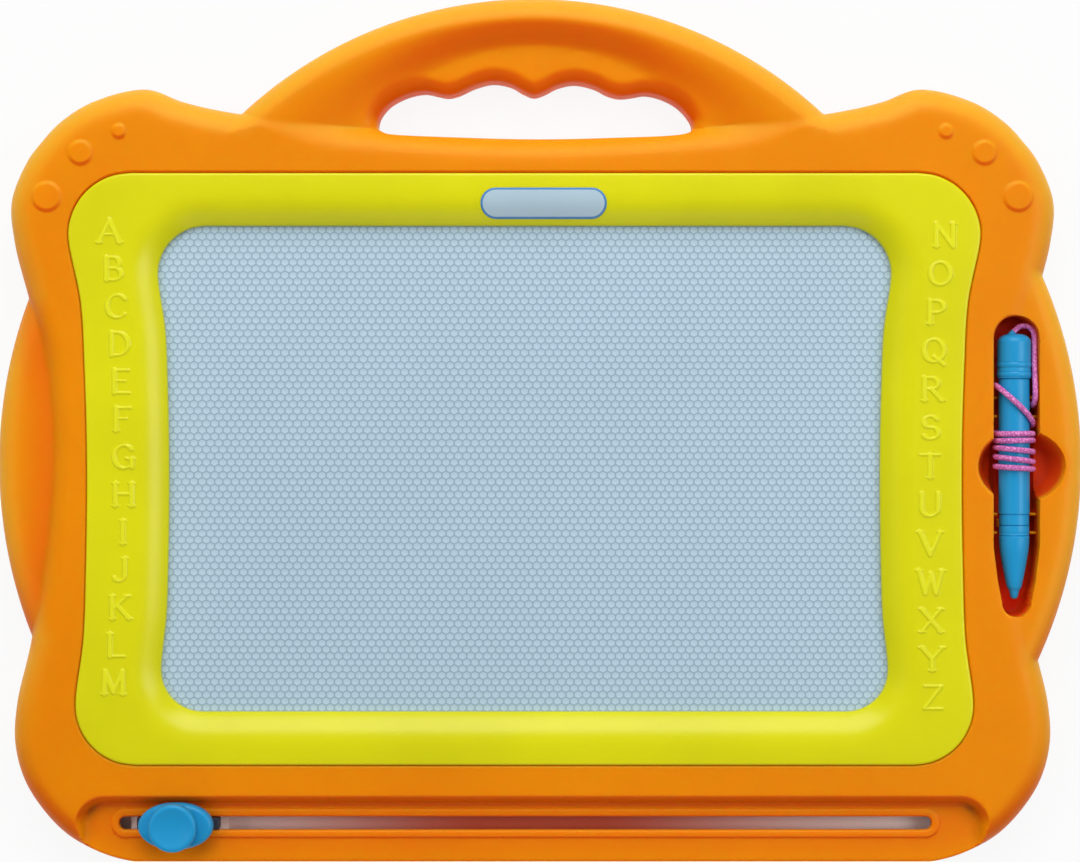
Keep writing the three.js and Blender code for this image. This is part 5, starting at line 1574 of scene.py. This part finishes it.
def eraser():
    neck = lens_outline(KNOB_NECK_INSET)
    levels = [(neck, KNOB_Z), (neck, KNOB_BASE_Z)]
    levels += [(lens_outline(KNOB_FOOT - rise), KNOB_BASE_Z + inset) for inset, rise in rounding(KNOB_FOOT)]
    side_z = KNOB_BASE_TOP_Z - KNOB_EDGE
    levels += [(lens_outline(inset), side_z + rise) for inset, rise in rounding(KNOB_EDGE)]
    base = loft("knob_base", levels)
    dress(base, "eraser", "blue_plastic", BLUE)
    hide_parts("slider_knob")
    insets = (DISC_NECK, DISC_NECK, 0)
    rings = [(DISC_RADIUS - inset, KNOB_BASE_TOP_Z + level) for inset, level in zip(insets, DISC_LEVELS)]
    side_z = KNOB_TOP_Z - DISC_EDGE
    rings += [(DISC_RADIUS - inset, side_z + rise) for inset, rise in rounding(DISC_EDGE)]
    rings += [(DISC_RADIUS - inset, KNOB_TOP_Z - dip) for inset, dip in DISC_FACE]
    disc = lathe("knob_disc", closed_profile(rings), (KNOB_X + DISC_SHIFT, SLOT_Y, 0), along_y=False)
    dress(disc, "eraser", "blue_plastic", BLUE)
    half_x, half_y = BLOCK_HALF
    block = rounded_block("slot_block", (KNOB_X - half_x, SLOT_Y - half_y, BLOCK_LOW_Z),
                          (KNOB_X + half_x, SLOT_Y + half_y, KNOB_Z - LEAST), BLOCK_ROUNDING)
    # dark navy: painted shade on the blue block in the slot
    dress(block, "eraser", "dark_plastic", SHADED_BLUE)
    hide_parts("slider_block")


# Pen

def cap_profile():
    """The end cap from the barrel to its dome, with two raised rings between grooves."""
    low = BARREL_TOP_Y + PEN_GAP
    groove = CAP_RADIUS - CAP_RING_GROOVE
    half, foot, end = CAP_RING_HALVES
    profile = [(0, low), (CAP_RADIUS - CAP_FOOT_EDGE, low), (CAP_RADIUS, low + CAP_FOOT_EDGE)]
    for y in CAP_RING_YS:
        bulge = [(CAP_RADIUS + CAP_RING_RISE * (1 - share**2), y + half * share)
                 for share in np.linspace(-1, 1, 9)]
        profile += [(groove, y - foot), *bulge, (groove, y + foot), (CAP_RADIUS, y + end)]
    shoulder = CAP_TOP_Y - CAP_DOME
    for turn in np.linspace(0, math.pi / 2, 14)[:-1]:
        radius = CAP_RADIUS * math.cos(turn)**CAP_DOME_POWER
        profile.append((radius, shoulder + CAP_DOME * math.sin(turn)))
    return [*profile, (0, CAP_TOP_Y)]


def nose_profile():
    """The pen's nose from its tip to the barrel, with two fine grooves."""
    length = NOSE_TIP_Y - NOSE_TOP_Y
    bends = [(radius * BARREL_RADIUS, place * length) for radius, place in NOSE_SHARES]
    bends = [(BARREL_RADIUS - BAND_SINK, 0), *bends, (NOSE_TIP_RADIUS, NOSE_TIP_SHARE * length)]
    profile = [(0, NOSE_TOP_Y)]
    for radius, place in spline(bends, NOSE_STEP, closed=False):
        y = NOSE_TOP_Y + place
        groove = max(math.exp(-((y - groove_y) / NOSE_GROOVE_HALF)**2) for groove_y in NOSE_GROOVE_YS)
        profile.append((radius - NOSE_GROOVE_DEPTH * groove, y))
    inset, gap = NOSE_END
    profile += [(NOSE_TIP_RADIUS - inset, NOSE_TIP_Y + gap), (0, NOSE_TIP_Y + gap)]
    return profile[::-1]


def pen():
    axis = np.array([PEN_X, 0, PEN_Z])
    rings = [(BARREL_RADIUS - inset, y) for inset, y in BARREL_RINGS]
    barrel = lathe("pen_body", closed_profile(rings), axis)
    dress(barrel, "pen", "blue_plastic", BLUE)
    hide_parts("pen_barrel")
    low, high = np.array(BARREL_SEAM) + axis
    dress(rounded_block("barrel_seam", low, high, BARREL_SEAM_ROUNDING), "pen", "blue_plastic", BLUE)
    cap = lathe("pen_cap", cap_profile(), axis)
    dress(cap, "pen", "blue_plastic", BLUE)
    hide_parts("pen_end_cap")
    start, after = np.array(CORD_LEAD[:2]) + axis
    along = (after - start) / np.linalg.norm(after - start)
    places = [start + along * place for place in EYELET_PLACES]
    dress(tube("cap_eyelet", places, EYELET_RADIUS, strands=2, lay=200), "pen", "blue_plastic", BLUE)
    nose = lathe("pen_tip_cone", nose_profile(), axis)
    dress(nose, "pen", "blue_plastic", BLUE)
    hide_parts("pen_nose")
    profile = [(radius, NOSE_TIP_Y - share * NIB_LENGTH) for radius, share in NIB_RINGS]
    nib = lathe("pen_nib_tip", profile, axis)
    dress(nib, "pen", "blue_plastic", BLUE)
    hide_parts("pen_nib")


def tray_fittings():
    """Ribs that the pen lies between and pads that it lies on."""
    near, far = BARREL_RADIUS + CRADLE_GAP, TRAY_HALF + RIB_BITE
    boxes = []
    for i, y in enumerate(CRADLE_YS):
        boxes.append((f"tray_rib_{2 * i + 1}", -far, -near, y, RIB_HALF, PEN_Z - RIB_DROP))
        boxes.append((f"tray_rib_{2 * i + 2}", near, far, y, RIB_HALF, PEN_Z - RIB_DROP))
    for i, (y, half, radius) in enumerate(PADS):
        boxes.append((f"tray_pad_{i + 1}", -PAD_REACH, PAD_REACH, y, half, PEN_Z - radius - CRADLE_GAP))
    foot = TRAY_FLOOR_Z - FITTING_SINK
    for name, left, right, y, half, top in boxes:
        low, high = (PEN_X + left, y - half, foot), (PEN_X + right, y + half, top)
        dress(rounded_block(name, low, high, FITTING_ROUNDING), "board", "orange_shell", ORANGE)


def screws():
    """Cross-headed screws in the counterbores of the back."""
    outline = circle((0, 0), SCREW_RADIUS, FINE_STEP / 2)

    def top(spots):
        reach = np.hypot(*spots.T)
        crown = SCREW_HEAD - SCREW_SEAT_Z - SCREW_CROWN * (reach / SCREW_RADIUS)**3
        away = np.abs(spots)
        arm = np.minimum(CROSS_HALF_WIDTH - away.min(axis=1), CROSS_REACH - away.max(axis=1))
        return crown - CROSS_DEPTH * smooth(arm / CROSS_EDGE)

    def under(spots):
        return np.where(np.hypot(*spots.T) < SCREW_SHAFT, -SCREW_SEAT_Z - SCREW_LENGTH, -SCREW_SEAT_Z)

    spots = square_grid(SCREW_RADIUS, SCREW_PITCH)
    spots = spots[np.hypot(*spots.T) < SCREW_RADIUS - EDGE_GAP]
    rings = np.vstack([circle((0, 0), SCREW_SHAFT + step, RING_STEP) for step in (-SHAFT_FOLD, SHAFT_FOLD)])
    rims = [[(0, -SCREW_SEAT_Z)]]
    shape = shell("back_screw_1", [outline], top, spots, rims, under, rings, flip=True)
    shape.data.materials.append(STEEL)
    for i, (x, y) in enumerate(boss_spots()):
        screw = linked(f"back_screw_{i + 1}", shape.data) if i else shape
        screw.location = (x * MM, y * MM, 0)
        dress(screw, "board", "steel_screw")
        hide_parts(f"shell_screw_{i + 1}")


def cord():
    route = cord_route()
    wound = tube("cord_wound", route, CORD_DIAMETER / 2 + CORD_NAP)
    dress(wound, "pen", "pink_cord", NYLON)
    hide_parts("cord_winding")
    end = route[-1]
    tail = cord_tail(end)


def cord_tail(end):
    """The cord's last stretch down through the tray, with its knot under the tray's floor."""
    x, y, top = end
    high = top - TAIL_GAP
    knot = arc((0, KNOT_Z), KNOT_RADIUS, *np.radians(KNOT_ANGLES), 11)
    stem = [(CORD_DIAMETER / 2, z) for z in np.linspace(KNOT_Z + KNOT_RADIUS, high, 12)]
    profile = [(0, KNOT_Z - KNOT_RADIUS), *knot, *stem, (0, high)]
    tail = lathe("cord_tail", profile, (x, y, 0), along_y=False, sides=24)
    tail.data.materials.append(NYLON)
    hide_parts("cord_tether")
    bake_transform(tail)
    return tail


def carried_over():
    """Finishes for the inner pieces that come from the frame."""
    finishes = {
        "screen_cell_core": CELL, "screen_back_film": CELL, "screen_retainer": GREY,
        "lower_glide_strip": STRIP, "upper_glide_strip": GREY, "eraser_arm": STRIP,
        "eraser_magnet": MAGNET, "pen_magnet": MAGNET, "knob_screw_1": STEEL, "knob_screw_2": STEEL,
    }
    finishes.update({f"retainer_screw_{i + 1}": STEEL for i in range(6)})
    for name, material in finishes.items():
        mesh = bpy.data.objects[name].data
        mesh.materials.clear()
        mesh.materials.append(material)


# Stage and light

def floor():
    mesh = bpy.data.meshes.new("floor")
    corners = [(x * FLOOR_HALF, y * FLOOR_HALF, 0) for x, y in ((-1, -1), (1, -1), (1, 1), (-1, 1))]
    mesh.from_pydata(corners, [], [(0, 1, 2, 3)])
    obj = linked("floor", mesh)
    obj.location.z = FLOOR_Z
    material = bpy.data.materials.new("floor")
    nodes, links = tree(material)
    shader = fill(nodes["Principled BSDF"], Base_Color=FLOOR_COLOUR, Roughness=FLOOR_ROUGHNESS)
    glow = nodes.new("ShaderNodeEmission")
    rays = nodes.new("ShaderNodeLightPath")
    seen = nodes.new("ShaderNodeMath")
    seen.operation = "MAXIMUM"
    share = nodes.new("ShaderNodeMath")
    share.operation = "MULTIPLY"
    share.inputs[1].default_value = FLOOR_GLOW
    mix = nodes.new("ShaderNodeMixShader")
    links.new(rays.outputs["Is Camera Ray"], seen.inputs[0])
    links.new(rays.outputs["Is Glossy Ray"], seen.inputs[1])
    links.new(seen.outputs["Value"], share.inputs[0])
    links.new(share.outputs["Value"], mix.inputs["Fac"])
    links.new(shader.outputs["BSDF"], mix.inputs[1])
    links.new(glow.outputs["Emission"], mix.inputs[2])
    links.new(mix.outputs["Shader"], nodes["Material Output"].inputs["Surface"])
    mesh.materials.append(material)


def lights():
    for name, place, size, power, shine in LAMPS:
        data = bpy.data.lights.new(name, "AREA")
        data.size = size
        data.energy = power
        lamp = linked(name, data)
        lamp.location = place
        lamp.rotation_euler = (-Vector(place)).to_track_quat("-Z", "Y").to_euler()
        lamp.visible_glossy = shine
    world = bpy.data.worlds.new("world")
    bpy.context.scene.world = world
    nodes, links = tree(world)
    rays = nodes.new("ShaderNodeLightPath")
    strength = fill(nodes.new("ShaderNodeMapRange"), To_Min=WORLD_LIGHT)
    background = fill(nodes["Background"], Color=(1, 1, 1, 1))
    links.new(rays.outputs["Is Camera Ray"], strength.inputs["Value"])
    links.new(strength.outputs["Result"], background.inputs["Strength"])
    bpy.context.scene.view_settings.view_transform = "Standard"


add_camera()
cord()
front_shell()
rear_shell()
bezel()
label_place()
screen_cells()
eraser()
pen()
tray_fittings()
screws()
carried_over()
floor()
lights()
